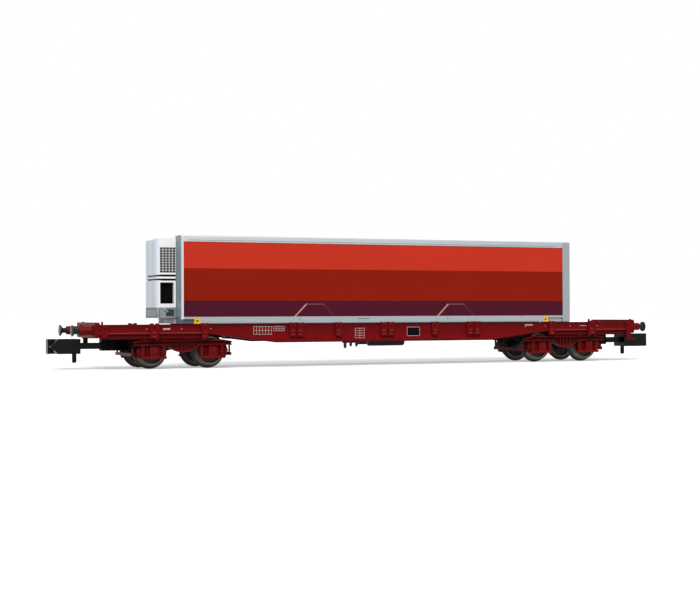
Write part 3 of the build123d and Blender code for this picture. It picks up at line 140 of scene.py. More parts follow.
class FlatcarStudio(bpy.types.PropertyGroup):
    """Camera and light."""
    yaw: angle("Yaw", "Camera's turn round the wagon", -22.94)
    pitch: angle("Pitch", "Camera's height as an angle", -0.64)
    roll: angle("Roll", "Camera's roll", -0.22)
    distance: length("Distance", "Camera to its target", 281.2)
    target_x: length("Target X", "Where the camera looks, along the wagon", -4.53)
    target_z: length("Target Z", "Where the camera looks, above the floor", 12.90)
    lens: number("Lens", "Focal length on a 36 mm sensor, in millimetres", 72.04)
    sky: number("Sky", "Even light from all round", 0.5)
    key: number("Key", "Sun-like soft light from above the front left", 2.45)
    fill: number("Fill", "Cool light on the faces that look along -X", 0.42)
    floor_bounce: number("Floor bounce", "How much of the floor's light reaches the wagon from below", 0.3)
    floor_glow: number("Floor glow", "Share of the floor's white that no shadow takes away", 0.4)


# Node trees

def maths(operation, swapped=False):
    """A method that adds a Math node for a value and what it is worked out with."""
    def method(self, *others):
        values = (self, *others)
        inputs = dict(enumerate(reversed(values) if swapped else values))
        return self.nodes.add("ShaderNodeMath", {"operation": operation}, inputs)
    return method


class Value:
    """An output socket. Arithmetic on it adds Math nodes to its tree."""
    __add__ = maths("ADD")
    __radd__ = maths("ADD", True)
    __sub__ = maths("SUBTRACT")
    __rsub__ = maths("SUBTRACT", True)
    __mul__ = maths("MULTIPLY")
    __rmul__ = maths("MULTIPLY", True)
    __truediv__ = maths("DIVIDE")
    __pow__ = maths("POWER")
    __mod__ = maths("MODULO")
    __abs__ = maths("ABSOLUTE")
    larger = maths("MAXIMUM")
    sine = maths("SINE")

    def __init__(self, nodes, socket):
        self.nodes = nodes
        self.socket = socket

    def above(self, edge, blur):
        """0 below the edge and 1 above it, with a soft step as wide as blur."""
        settings = {"interpolation_type": "SMOOTHSTEP"}
        sockets = {"Value": self, "From Min": edge - blur / 2, "From Max": edge + blur / 2}
        return self.nodes.add("ShaderNodeMapRange", settings, sockets)

    def below(self, edge, blur):
        return 1 - self.above(edge, blur)

    def within(self, low, high, blur):
        return self.above(low, blur) * self.below(high, blur)

    def around(self, middle, spread):
        """A pattern of 0 to 1, moved to that middle and made as wide as the spread."""
        return middle + (self - 0.5) * spread

    def out(self, name):
        """Another output of the same node."""
        return Value(self.nodes, self.socket.node.outputs[name])


class Nodes:
    """A node tree that is filled by one method."""

    def __init__(self, tree):
        self.tree = tree

    def add(self, kind, settings=None, sockets=None):
        node = self.tree.nodes.new(kind)
        for name, value in (settings or {}).items():
            setattr(node, name, value)
        for name, value in (sockets or {}).items():
            self.feed(node.inputs[name], value)
        shown = [socket for socket in node.outputs if socket.enabled]
        return Value(self, shown[0]) if shown else node

    def feed(self, socket, value):
        if isinstance(value, Value):
            self.tree.links.new(value.socket, socket)
        elif socket.type == "RGBA" and len(value) == 3:
            socket.default_value = (*value, 1.0)
        else:
            socket.default_value = value


class Finish(Nodes):
    """A material's tree, with the patterns that its finishes share."""

    def __init__(self, name):
        self.material = bpy.data.materials.new(name)
        self.material.use_nodes = True
        super().__init__(self.material.node_tree)
        self.tree.nodes.clear()
        self.point = self.add("ShaderNodeTexCoord").out("Object")

    def axes(self, centre=(0.0, 0.0, 0.0)):
        """X, Y and Z of the surface point, measured from a centre."""
        moved = self.add("ShaderNodeMapping", None,
                         {"Vector": self.point, "Location": tuple(-c for c in centre)})
        split = self.add("ShaderNodeSeparateXYZ", None, {0: moved})
        return split, split.out("Y"), split.out("Z")

    def noise(self, size, detail=3.0, stretch=(1.0, 1.0, 1.0)):
        """Cloudy pattern, 0 to 1, with features of that size."""
        moved = self.add("ShaderNodeMapping", None, {"Vector": self.point, "Scale": stretch})
        return self.add("ShaderNodeTexNoise", None, {"Vector": moved, "Scale": 1 / size, "Detail": detail})

    def mix(self, first, second, share):
        return self.add("ShaderNodeMix", {"data_type": "RGBA"}, {0: share, 6: first, 7: second})

    def between(self, rgb, low, high, share):
        """A colour that runs from one shade of it to another."""
        return self.mix(shade(rgb, low), shade(rgb, high), share)

    def surface(self, base, roughness, specular, relief=None, metallic=0.0):
        """Closes the tree. Relief is a pattern, its depth and its strength."""
        sockets = {"Base Color": base, "Roughness": roughness, "Specular IOR Level": specular,
                   "Metallic": metallic}
        if relief:
            sockets["Normal"] = self.add("ShaderNodeBump", None,
                                         dict(zip(("Height", "Distance", "Strength"), relief)))
        shader = self.add("ShaderNodeBsdfPrincipled", None, sockets)
        self.add("ShaderNodeOutputMaterial", None, {"Surface": shader})
        return self.material


def shade(rgb, factor):
    """A colour made lighter or darker."""
    return tuple(min(1.0, c * factor) for c in rgb)


# Finishes

PAINT_GRAIN = 0.09 * MM
PAINT_CLOUD = 3.2 * MM
PEEL = 0.006 * MM               # depth of the orange peel of paint
FINE_PEEL = 0.005 * MM          # and of the paint on the container and the unit
PLASTIC_GRAIN = 0.06 * MM
PLASTIC_FLOW = 2.4 * MM
FLOW_STRETCH = (0.35, 1.0, 1.0)
SPARK_DEPTH = 0.008 * MM        # depth of the grain of a mould
SILVER_FLAKE = 0.035 * MM
SILVER_ROLL = 0.5 * MM
ROLL_STRETCH = (0.06, 1.0, 1.0)
FLAKE_DEPTH = 0.004 * MM
TOOL_DEPTH = 0.002 * MM         # depth of the rings that a turning tool leaves
SHARP = 0.02 * MM               # blur of a hard edge between two colours
SOFT = 0.05 * MM
FRONT_TURN = (0.6 * MM, 0.9 * MM)   # where the unit's front turns to its side, and over what length; its painted cool shade ends there


def satin_paint(name, rgb, roughness=0.4, specular=0.06, variation=0.14, tone_shift=0.2):
    """Sprayed paint: a fine orange peel, faint clouds, and thinner colour in a few small places."""
    finish = Finish(name)
    grain = finish.noise(PAINT_GRAIN, 2.0)
    spread = finish.between(rgb, 1 - variation, 1 + variation, finish.noise(PAINT_CLOUD, 4.0))
    thin = finish.noise(0.8 * MM, 5.0).above(0.66, 0.14)
    base = finish.mix(spread, shade(rgb, 1 + tone_shift), thin * 0.5)
    return finish.surface(base, grain.around(roughness, 0.18), specular, (grain, PEEL, 0.6))


def sill_paint(name, colours, deck_z, web, lip_z, toe):
    """Satin paint of a side sill, with painted shade under the deck, on its lip and on its skirt, and
    painted light low on the web and on the lip's top edge.

    Web is the web's distance from the middle, lip_z the two heights of the lip at the shallow ends,
    and toe where these ends begin.
    """
    rgb = colours.frame_red
    lip_foot, lip_head = lip_z
    blur = 0.04 * MM
    finish = Finish(name)
    along, across, up = finish.axes()
    grain = finish.noise(PAINT_GRAIN, 2.0)
    depth = deck_z - up
    ends = abs(along).above(toe, 3.0 * MM)
    lip = abs(across).above(web + 0.07 * MM, blur)
    spread = finish.between(rgb, 0.86, 1.14, finish.noise(PAINT_CLOUD, 4.0))
    # Painted light on the lower web and painted shade on the lip, both in the middle part
    lighter = finish.mix(spread, shade(rgb, 1.28), depth.above(1.9 * MM, 1.8 * MM) * (1 - ends) * 0.85)
    lipped = finish.mix(lighter, shade(rgb, 0.72), lip * (1 - ends) * 0.8)
    # Painted shade under the deck
    deep = finish.mix(shade(rgb, 0.6), lipped, depth.above(0.5 * MM, 1.0 * MM))
    # Painted shade on the skirt under the lip at the shallow ends
    skirt = ends * up.below(lip_foot - 0.02 * MM, blur)
    skirted = finish.mix(deep, shade(rgb, 0.5), skirt * 0.8)
    # Painted highlight on the top edge of the lip at the shallow ends
    lip_highlights = ends * lip * up.within(lip_head - 0.1 * MM, lip_head + 0.06 * MM, blur)
    base = finish.mix(skirted, colours.worn_red, lip_highlights * 0.45)
    return finish.surface(base, grain.around(0.4, 0.18), 0.06, (grain, PEEL, 0.6))


def moulded_plastic(name, rgb, roughness=0.36, specular=0.14):
    """Bare moulded plastic: a fine spark-eroded grain and flow clouds."""
    finish = Finish(name)
    grain = finish.noise(PLASTIC_GRAIN, 2.0)
    flow = finish.noise(PLASTIC_FLOW, 2.0, FLOW_STRETCH)
    return finish.surface(finish.between(rgb, 0.8, 1.25, flow), flow.around(roughness, 0.16), specular,
                          (grain, SPARK_DEPTH, 0.7))


def washed_plastic(name, rgb, web, proud, band):
    """Moulded plastic with painted shade: full colour on what stands proud, painted shade in the recesses.

    The recesses lie between the web's distance from the middle and the proud faces'. Above the
    band's height, under the sill, the painted shade is deeper, and it lies thinly on the proud faces too.
    """
    finish = Finish(name)
    _, across, up = finish.axes()
    grain = finish.noise(PLASTIC_GRAIN, 2.0)
    flow = finish.noise(PLASTIC_FLOW, 2.0, FLOW_STRETCH)
    mottle = finish.noise(0.7 * MM, 4.0)
    recess = abs(across).below((web + proud) / 2, proud - web)
    upper = up.above(band, 0.7 * MM)
    # Painted shade: in the recesses, deeper above the band under the sill, with a random mottle
    tone_shift = (recess * (0.4 + upper * 0.4) + upper * (1 - recess) * 0.3) * (0.8 + mottle * 0.4)
    base = finish.mix(finish.between(rgb, 0.84, 1.22, flow), shade(rgb, 0.12), tone_shift)
    return finish.surface(base, flow.around(0.4, 0.16), 0.06, (grain, SPARK_DEPTH, 0.7))


def pierced_cover(name, colours, box, opening, bars, joint):
    """White cover with painted cool shade on its front, toned bars, painted shade on the edges in its
    openings, and a dark joint.

    Opening is the pierced part of both sides, as X and Z of two corners. Bars is the tone of what
    stands between the holes, and joint the height at which the cover meets the band.
    """
    low, high = box
    x0, z0, x1, z1 = opening
    turn, turn_length = FRONT_TURN
    finish = Finish(name)
    along, across, up = finish.axes()
    grain = finish.noise(PAINT_GRAIN, 2.0)
    pierced = up.within(z0, z1, SHARP) * along.within(x0, x1, SHARP)
    outside = abs(across).above(high.y - 0.08 * MM, 0.03 * MM)
    beside = along.above(low.x + turn, turn_length)
    line = beside * abs(up - joint).below(0.07 * MM, 0.03 * MM)
    side_white = finish.between(colours.unit_white, 0.96, 1.0, finish.noise(PAINT_CLOUD, 4.0))
    # Painted cool shade on the front, turning to the side's white
    white = finish.mix(colours.unit_cool, side_white, beside)
    toned = finish.mix(white, shade(colours.unit_white, bars), pierced)
    # Painted shade on the inner edges of the openings, and the dark joint line
    base = finish.mix(toned, colours.unit_dark, (pierced * (1 - outside)).larger(line))
    return finish.surface(base, grain.around(0.38, 0.16), 0.2, (grain, FINE_PEEL, 0.5))


def silver_streaks(finish):
    """Fine flakes, and streaks of them that were rolled along the wagon."""
    flakes = finish.noise(SILVER_FLAKE, 1.0)
    return flakes, finish.noise(SILVER_ROLL, 3.0, ROLL_STRETCH) * 0.6 + flakes * 0.4


def silver_paint(name, rgb, metallic=0.25, far=None, span=None):
    """Silver paint. With a far colour, it turns to that colour over that span of X: on the top rails, a
    painted shade toward the doors.
    """
    finish = Finish(name)
    flakes, streaks = silver_streaks(finish)
    base = finish.between(rgb, 0.86, 1.1, streaks)
    if far is not None:
        first, last = span
        share = (finish.axes()[0] - first) / (last - first)
        base = finish.mix(base, finish.between(far, 0.86, 1.1, streaks), share)
    return finish.surface(base, flakes.around(0.36, 0.3), 0.4, (flakes, FLAKE_DEPTH, 0.5), metallic)


def undercut_silver(name, colours, casting_x, foot_z):
    """Silver paint, with slate as painted shade where the rail is undercut in front of the front casting.
    """
    finish = Finish(name)
    along, _, up = finish.axes()
    flakes, streaks = silver_streaks(finish)
    silver = finish.between(colours.rail_silver, 0.88, 1.08, streaks)
    # Painted shade on the undercut
    undercut = along.below(casting_x, SOFT) * up.below(foot_z, SOFT)
    base = finish.mix(silver, colours.slate, undercut)
    return finish.surface(base, flakes.around(0.38, 0.3), 0.35, (flakes, FLAKE_DEPTH, 0.5), 0.2)


def banded_side(name, colours, bands, bead_face, spacing):
    """Printed container side: three bands, a fine print raster and pale grapple beads.

    Spacing is that of the grapple places. The beads' legs toward -X carry a painted highlight.
    """
    low_edge, high_edge = bands
    blur = 0.06 * MM
    finish = Finish(name)
    along, across, up = finish.axes()
    raster = finish.noise(0.16 * MM, 2.0)
    clouds = finish.noise(7.0 * MM, 3.0, (0.4, 1.0, 1.0)) * 0.4 + finish.noise(0.5 * MM, 4.0) * 0.6
    upper = finish.between(colours.band_red, 0.84, 1.18, clouds)
    middle = finish.between(colours.band_brick, 0.82, 1.2, clouds)
    lower = finish.between(colours.band_plum, 0.76, 1.24, clouds)
    bands_below = finish.mix(lower, middle, up.above(low_edge, blur))
    printed = finish.mix(bands_below, upper, up.above(high_edge, blur))
    bead = abs(across).above(bead_face, SHARP)
    from_centre = (along + spacing) % spacing - spacing / 2
    lit_leg = from_centre.below(-1.7 * MM, 0.3 * MM)
    bar = from_centre.below(1.9 * MM, 0.5 * MM)
    # Faint pale bead, with a painted highlight on the legs toward -X
    base = finish.mix(printed, colours.bead_pink, bead * (0.06 + bar * 0.12 + lit_leg * 0.64))
    return finish.surface(base, raster.around(0.42, 0.14), 0.1, (raster, FINE_PEEL, 0.5))


def end_frame_paint(name, colours, rest, front_x, foot_z):
    """Paint of an end frame whose face along -X is grey, as the front wall beside it, over a slate foot."""
    finish = Finish(name)
    along, _, up = finish.axes()
    grain = finish.noise(PAINT_GRAIN, 2.0)
    clouds = finish.noise(2.6 * MM, 3.0)
    pale = finish.between(rest, 0.93, 1.0, clouds)
    grey = finish.between(colours.front_grey, 0.9, 1.1, clouds)
    upper = finish.mix(grey, pale, along.above(front_x + 0.05 * MM, 0.04 * MM))
    base = finish.mix(colours.slate, upper, up.above(foot_z, SOFT))
    return finish.surface(base, grain.around(0.42, 0.16), 0.35, (grain, FINE_PEEL, 0.5))


def end_sill_paint(name, colours, corner):
    """White end sills. At the front, slate covers what lies further out than the corner."""
    finish = Finish(name)
    along, across, _ = finish.axes()
    grain = finish.noise(PAINT_GRAIN, 2.0)
    slate = along.below(0.0, MM) * abs(across).above(corner, SOFT)
    white = finish.between(colours.rail_white, 1.1, 1.2, grain)
    return finish.surface(finish.mix(white, colours.slate, slate), grain.around(0.42, 0.16), 0.2)


def grooved_band(name, colours, box, ridge):
    """White band with painted cool shade on its front, and painted shade on its set-back edges above and
    below its ridge.
    """
    low, high = box
    turn, turn_length = FRONT_TURN
    finish = Finish(name)
    along, _, up = finish.axes((low + high) / 2)
    grain = finish.noise(PAINT_GRAIN, 2.0)
    side_white = finish.between(colours.unit_white, 0.94, 1.0, grain)
    white = finish.mix(colours.unit_cool, side_white, along.above((low.x - high.x) / 2 + turn, turn_length))
    # Painted shade on the set-back edges
    base = finish.mix(white, colours.unit_dark, abs(up).above(ridge / 2, SHARP))
    return finish.surface(base, grain.around(0.4, 0.16), 0.15)


def turned_wheel(name, colours, centre, rim, tread):
    """Blackened wheel with a bare tread, and a bare ring on the rim's face."""
    finish = Finish(name)
    along, _, up = finish.axes(centre)
    radius = (along * along + up * up) ** 0.5
    rings = (radius * (2 * pi / (0.05 * MM))).sine()
    smudge = finish.noise(0.7 * MM, 4.0)
    ring = radius.above(rim, SOFT) * radius.below(tread - 0.17 * MM, 0.04 * MM)
    rolled = radius.within(tread - 0.05 * MM, tread + 0.02 * MM, SHARP)
    bare = (ring + rolled) * (0.55 + smudge * 0.6)
    bright = finish.between(colours.wheel_tread, 0.8, 1.1, smudge)
    dark = finish.between(colours.wheel_dark, 0.75, 1.5, smudge)
    return finish.surface(finish.mix(dark, bright, bare), 0.5 - bare * 0.16, 0.35,
                          (rings, TOOL_DEPTH, 0.5), bare * 0.55)


def turned_steel(name, rgb, centre=(0.0, 0.0, 0.0)):
    """Turned steel with fine rings about a line along Y."""
    finish = Finish(name)
    rings = (finish.axes(centre)[1] * (2 * pi / (0.06 * MM))).sine()
    smudge = finish.noise(0.6 * MM, 3.0)
    return finish.surface(finish.between(rgb, 0.7, 1.2, smudge), 0.32 + smudge * 0.2, 0.5,
                          (rings, TOOL_DEPTH, 0.5), 0.8)


def flat_print(name, rgb, specular=0.12):
    """Printed ink with a slightly broken edge of colour."""
    finish = Finish(name)
    ink = finish.noise(0.12 * MM, 3.0)
    return finish.surface(finish.between(rgb, 0.84, 1.04, ink), ink.around(0.5, 0.2), specular)


# Meshes

def mm(*values):
    """Millimetres in metres."""
    return [value * MM for value in values]


class Maker:
    """Collects small shapes, in metres, into one mesh."""
    ROD_SIDES = 16

    def __init__(self):
        self.bm = bmesh.new()

    def box(self, corner, other):
        size = [abs(b - a) for a, b in zip(corner, other)]
        place = Matrix.Translation((Vector(corner) + Vector(other)) / 2) @ Matrix.Diagonal((*size, 1.0))
        bmesh.ops.create_cube(self.bm, size=1.0, matrix=place)

    def rod(self, start, end, radius, end_radius=None):
        line = Vector(end) - Vector(start)
        turn = line.to_track_quat("Z", "Y").to_matrix().to_4x4()
        place = Matrix.Translation((Vector(start) + Vector(end)) / 2) @ turn
        bmesh.ops.create_cone(self.bm, cap_ends=True, segments=self.ROD_SIDES, radius1=radius,
                              radius2=radius if end_radius is None else end_radius,
                              depth=line.length, matrix=place)

    def plates(self, face, proud, x0, z0, x1, z1):
        """A box on each side of the wagon, from that distance from the middle outward."""
        for side in SIDES:
            self.box((x0, side * face, z0), (x1, side * (face + proud), z1))

    def studs(self, face, proud, x, z, radius, end_radius=None):
        """A rod on each side of the wagon, from that distance from the middle outward."""
        for side in SIDES:
            self.rod((x, side * face, z), (x, side * (face + proud), z), radius, end_radius)

    def piece(self, name, material, slot, edge=0.0):
        mesh = bpy.data.meshes.new(name)
        bmesh.ops.recalc_face_normals(self.bm, faces=self.bm.faces)
        self.bm.to_mesh(mesh)
        self.bm.free()
        place_piece(name, mesh, material, "wagon", edge)


def place_piece(name, mesh, material, body, edge=0.0):
    """Puts a finished mesh in the scene, with its material and rounded edges, on its body."""
    piece = bpy.data.objects.new(name, mesh)
    bpy.context.scene.collection.objects.link(piece)
    mesh.materials.clear()
    mesh.materials.append(material)
    if edge:
        round_edges(piece, edge)
    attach(piece, body)


def round_edges(piece, width):
    bevel = piece.modifiers.new("Rounded edges", "BEVEL")
    bevel.width = width
    bevel.segments = 2
    bevel.limit_method = "ANGLE"
    bevel.angle_limit = radians(35)


def dress(names, material, edge=0.0):
    """Gives CAD nodes a finish. Those with an edge get whole faces and rounded edges."""
    for name in names:
        node = NODES[name]
        for slot in node.material_slots:
            slot.material = material
        weld = node.modifiers.new("Joined triangles", "WELD")
        weld.merge_threshold = 0.0005 * MM
        if edge:
            flat = node.modifiers.new("Whole faces", "DECIMATE")
            flat.decimate_type = "DISSOLVE"
            flat.angle_limit = radians(0.5)
            round_edges(node, edge)


def each(pattern, words):
    return [pattern.format(word) for word in words]


# Geometry Nodes

def geometry_tree(name, inputs):
    """An empty tree with named inputs; returns its filler and its inputs' values."""
    tree = bpy.data.node_groups.new(name, "GeometryNodeTree")
    tree.interface.new_socket("Geometry", in_out="OUTPUT", socket_type="NodeSocketGeometry")
    for socket_name, kind in inputs:
        tree.interface.new_socket(socket_name, in_out="INPUT", socket_type="NodeSocket" + kind)
    nodes = Nodes(tree)
    entry = tree.nodes.new("NodeGroupInput")
    return nodes, {name: Value(nodes, entry.outputs[name]) for name, _ in inputs}


def close_tree(nodes, instances, material):
    """Ends a tree with real meshes and their material."""
    real = nodes.add("GeometryNodeRealizeInstances", None, {0: instances})
    done = nodes.add("GeometryNodeSetMaterial", None, {"Geometry": real, "Material": material})
    nodes.add("NodeGroupOutput", None, {0: done})
    return nodes.tree


def rivet_tree():
    """Studs along every line of a mesh, standing on the attribute named facing."""
    nodes, given = geometry_tree("Rivet rows", (
        ("Lines", "Geometry"), ("Pitch", "Float"), ("Radius", "Float"), ("Height", "Float"),
        ("Stretch", "Float"), ("Sides", "Int"), ("Material", "Material")))
    curves = nodes.add("GeometryNodeMeshToCurve", None, {0: given["Lines"]})
    points = nodes.add("GeometryNodeCurveToPoints", {"mode": "LENGTH"},
                       {"Curve": curves, "Length": given["Pitch"]})
    facing = nodes.add("GeometryNodeInputNamedAttribute", {"data_type": "FLOAT_VECTOR"}, {"Name": "facing"})
    along = nodes.add("FunctionNodeAlignRotationToVector", {"axis": "X"}, {"Vector": points.out("Tangent")})
    turned = nodes.add("FunctionNodeAlignRotationToVector", {"axis": "Z", "pivot_axis": "X"},
                       {"Rotation": along, "Vector": facing})
    stud = nodes.add("GeometryNodeMeshCone", None, {
        "Vertices": given["Sides"], "Radius Bottom": given["Radius"], "Radius Top": given["Radius"] * 0.62,
        "Depth": given["Height"]})
    scale = nodes.add("ShaderNodeCombineXYZ", None, {0: given["Stretch"], 1: 1.0, 2: 1.0})
    studs = nodes.add("GeometryNodeInstanceOnPoints", None, {
        "Points": points, "Instance": stud, "Rotation": turned, "Scale": scale})
    return close_tree(nodes, studs, given["Material"])


def slat_tree():
    """Equal bars, each a step further from the first."""
    nodes, given = geometry_tree("Slats", (
        ("Count", "Int"), ("First", "Vector"), ("Step", "Vector"), ("Size", "Vector"),
        ("Material", "Material")))
    places = nodes.add("GeometryNodeMeshLine", {"mode": "OFFSET"},
                       {"Count": given["Count"], "Start Location": given["First"], "Offset": given["Step"]})
    bar = nodes.add("GeometryNodeMeshCube", None, {"Size": given["Size"]})
    bars = nodes.add("GeometryNodeInstanceOnPoints", None, {"Points": places, "Instance": bar})
    return close_tree(nodes, bars, given["Material"])


def chequer_tree():
    """Lozenges on a grid, turned one way and the other in turn."""
    nodes, given = geometry_tree("Chequer plate", (
        ("Length", "Float"), ("Width", "Float"), ("Columns", "Int"), ("Rows", "Int"), ("Centre", "Vector"),
        ("Lozenge", "Float"), ("Height", "Float"), ("Material", "Material")))
    grid = nodes.add("GeometryNodeMeshGrid", None, {
        "Size X": given["Length"], "Size Y": given["Width"],
        "Vertices X": given["Columns"], "Vertices Y": given["Rows"]})
    moved = nodes.add("GeometryNodeTransform", None, {"Geometry": grid, "Translation": given["Centre"]})
    index = nodes.add("GeometryNodeInputIndex")
    turn = (index % 2.0) * (pi / 2) - pi / 4
    rotation = nodes.add("ShaderNodeCombineXYZ", None, {2: turn})
    lozenge = nodes.add("GeometryNodeMeshCone", None, {
        "Vertices": 6, "Radius Bottom": given["Lozenge"], "Radius Top": given["Lozenge"] * 0.55,
        "Depth": given["Height"]})
    lozenges = nodes.add("GeometryNodeInstanceOnPoints", None, {
        "Points": moved, "Instance": lozenge, "Rotation": rotation, "Scale": (1.0, 0.34, 1.0)})
    return close_tree(nodes, lozenges, given["Material"])


def grow(name, tree, inputs, body, lines=None):
    """Runs a tree and keeps its result as a plain mesh."""
    source = bpy.data.objects.new(name + "_source", lines or bpy.data.meshes.new(name + "_source"))
    bpy.context.scene.collection.objects.link(source)
    modifier = source.modifiers.new("Grown", "NODES")
    modifier.node_group = tree
    sockets = {item.name: item.identifier for item in tree.interface.items_tree
               if item.item_type == "SOCKET" and item.in_out == "INPUT"}
    for key, value in inputs.items():
        modifier[sockets[key]] = value
    made = bpy.data.meshes.new_from_object(source.evaluated_get(bpy.context.evaluated_depsgraph_get()))
    made.name = name
    bpy.data.objects.remove(source)
    if not made.polygons:
        raise RuntimeError(f"{name} came out empty")
    place_piece(name, made, inputs["Material"], body)


def grow_rivets(name, rows, material, pitch, radius, height, stretch=1.0, sides=8, body="wagon"):
    """Rivets or bolts along rows. A row is its points, its facing and whether it closes."""
    vertices, edges, facings = [], [], []
    for points, facing, closed in rows:
        first = len(vertices)
        vertices += [tuple(p) for p in points]
        facings += [*facing] * len(points)
        edges += [(first + i, first + i + 1) for i in range(len(points) - 1)]
        if closed:
            edges.append((len(vertices) - 1, first))
    lines = bpy.data.meshes.new(name + "_lines")
    lines.from_pydata(vertices, edges, [])
    lines.attributes.new("facing", "FLOAT_VECTOR", "POINT").data.foreach_set("vector", facings)
    grow(name, rivet_tree(), {"Pitch": pitch, "Radius": radius, "Height": height, "Stretch": stretch,
                              "Sides": sides, "Material": material}, body, lines)


def side_rows(face, first, last):
    """A straight row on each side of the wagon, between two points that are given as X and Z."""
    return [([(x, side * face, z) for x, z in (first, last)], (0, side, 0), False) for side in SIDES]


def ring(centre, radius, facing, steps=24):
    """A closed row of points round a centre, in the plane that faces that way."""
    turn = Vector(facing).to_track_quat("Z", "Y").to_matrix()
    angles = [2 * pi * i / steps for i in range(steps)]
    return [Vector(centre) + turn @ Vector((cos(a), sin(a), 0)) * radius for a in angles], facing, True


class FlatcarOperator:
    """What the operators share: undo, and short ways to the settings."""
    bl_options = {"REGISTER", "UNDO"}

    @property
    def colours(self):
        return bpy.context.scene.flatcar_colours

    @property
    def sizes(self):
        return bpy.context.scene.flatcar_sizes


class FLATCAR_OT_wheelsets(FlatcarOperator, bpy.types.Operator):
    """Turned wheels with a bare rim, on steel axles"""
    bl_idname = "flatcar.wheelsets"
    bl_label = "Wheelsets"

    FLANGE_H = 0.5 * MM
    RIM_T = 0.46 * MM

    def execute(self, context):
        for end in ENDS:
            for place in ("outer", "inner"):
                wheels, axle = f"wheels_{end}_{place}", f"axle_{end}_{place}"
                low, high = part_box(wheels)
                centre = (low + high) / 2
                tread = (high.z - low.z) / 2 - self.FLANGE_H
                metal = turned_wheel(f"{wheels}_finish", self.colours, centre, tread - self.RIM_T, tread)
                dress([wheels], metal, self.sizes.fine_edge)
                dress([axle], turned_steel(f"{axle}_finish", self.colours.steel, centre))
        return {"FINISHED"}


class FLATCAR_OT_bogies(FlatcarOperator, bpy.types.Operator):
    """Moulded bogies with bolted axle box covers and riveted frames"""
    bl_idname = "flatcar.bogies"
    bl_label = "Bogies"

    PIECES = ("side_frames", "bolster", "axle_boxes", "springs", "brake_beams")
    WEB_DEPTH = 0.5 * MM
    BAND_SHARE = 0.45               # where the deeper painted shade begins, as a share of the frame's height
    BOLT_PITCH, BOLT_RADIUS, BOLT_HEIGHT = mm(0.42, 0.075, 0.05)
    COVER_RADIUS = 0.36 * MM        # of the ring of bolts on an axle box cover
    ROW_DROP = 0.62 * MM            # of the rivets, from the frame's top
    ROW_FIRST, ROW_LAST = mm(0.5, 5.6)

    def execute(self, context):
        low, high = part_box("bogie_left_side_frames")
        # Painted shade in the side frames' recesses and under the sill
        paint = washed_plastic("bogie_paint", self.colours.bogie_red, high.y - self.WEB_DEPTH, high.y,
                               low.z + self.BAND_SHARE * (high.z - low.z))
        for end in ENDS:
            dress([f"bogie_{end}_{piece}" for piece in self.PIECES], paint, self.sizes.fine_edge)
            rows = self.cover_bolts(end) + self.frame_rivets(end)
            grow_rivets(f"bogie_{end}_bolts", rows, paint, self.BOLT_PITCH, self.BOLT_RADIUS,
                        self.BOLT_HEIGHT, sides=6, body=f"bogie_{end}")
        return {"FINISHED"}

    def cover_bolts(self, end):
        """A ring of bolts on each axle box cover."""
        rows = []
        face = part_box(f"bogie_{end}_axle_boxes")[1].y
        for place in ("outer", "inner"):
            low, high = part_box(f"axle_{end}_{place}")
            centre = (low + high) / 2
            for side in SIDES:
                rows.append(ring((centre.x, side * face, centre.z), self.COVER_RADIUS, (0, side, 0)))
        return rows

    def frame_rivets(self, end):
        """Rivets on the web, under the top flange at both ends of the frame."""
        low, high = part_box(f"bogie_{end}_side_frames")
        web, z = high.y - self.WEB_DEPTH, high.z - self.ROW_DROP
        rows = []
        for x0, x1 in ((low.x + self.ROW_FIRST, low.x + self.ROW_LAST),
                       (high.x - self.ROW_LAST, high.x - self.ROW_FIRST)):
            rows += side_rows(web, (x0, z), (x1, z))
        return rows


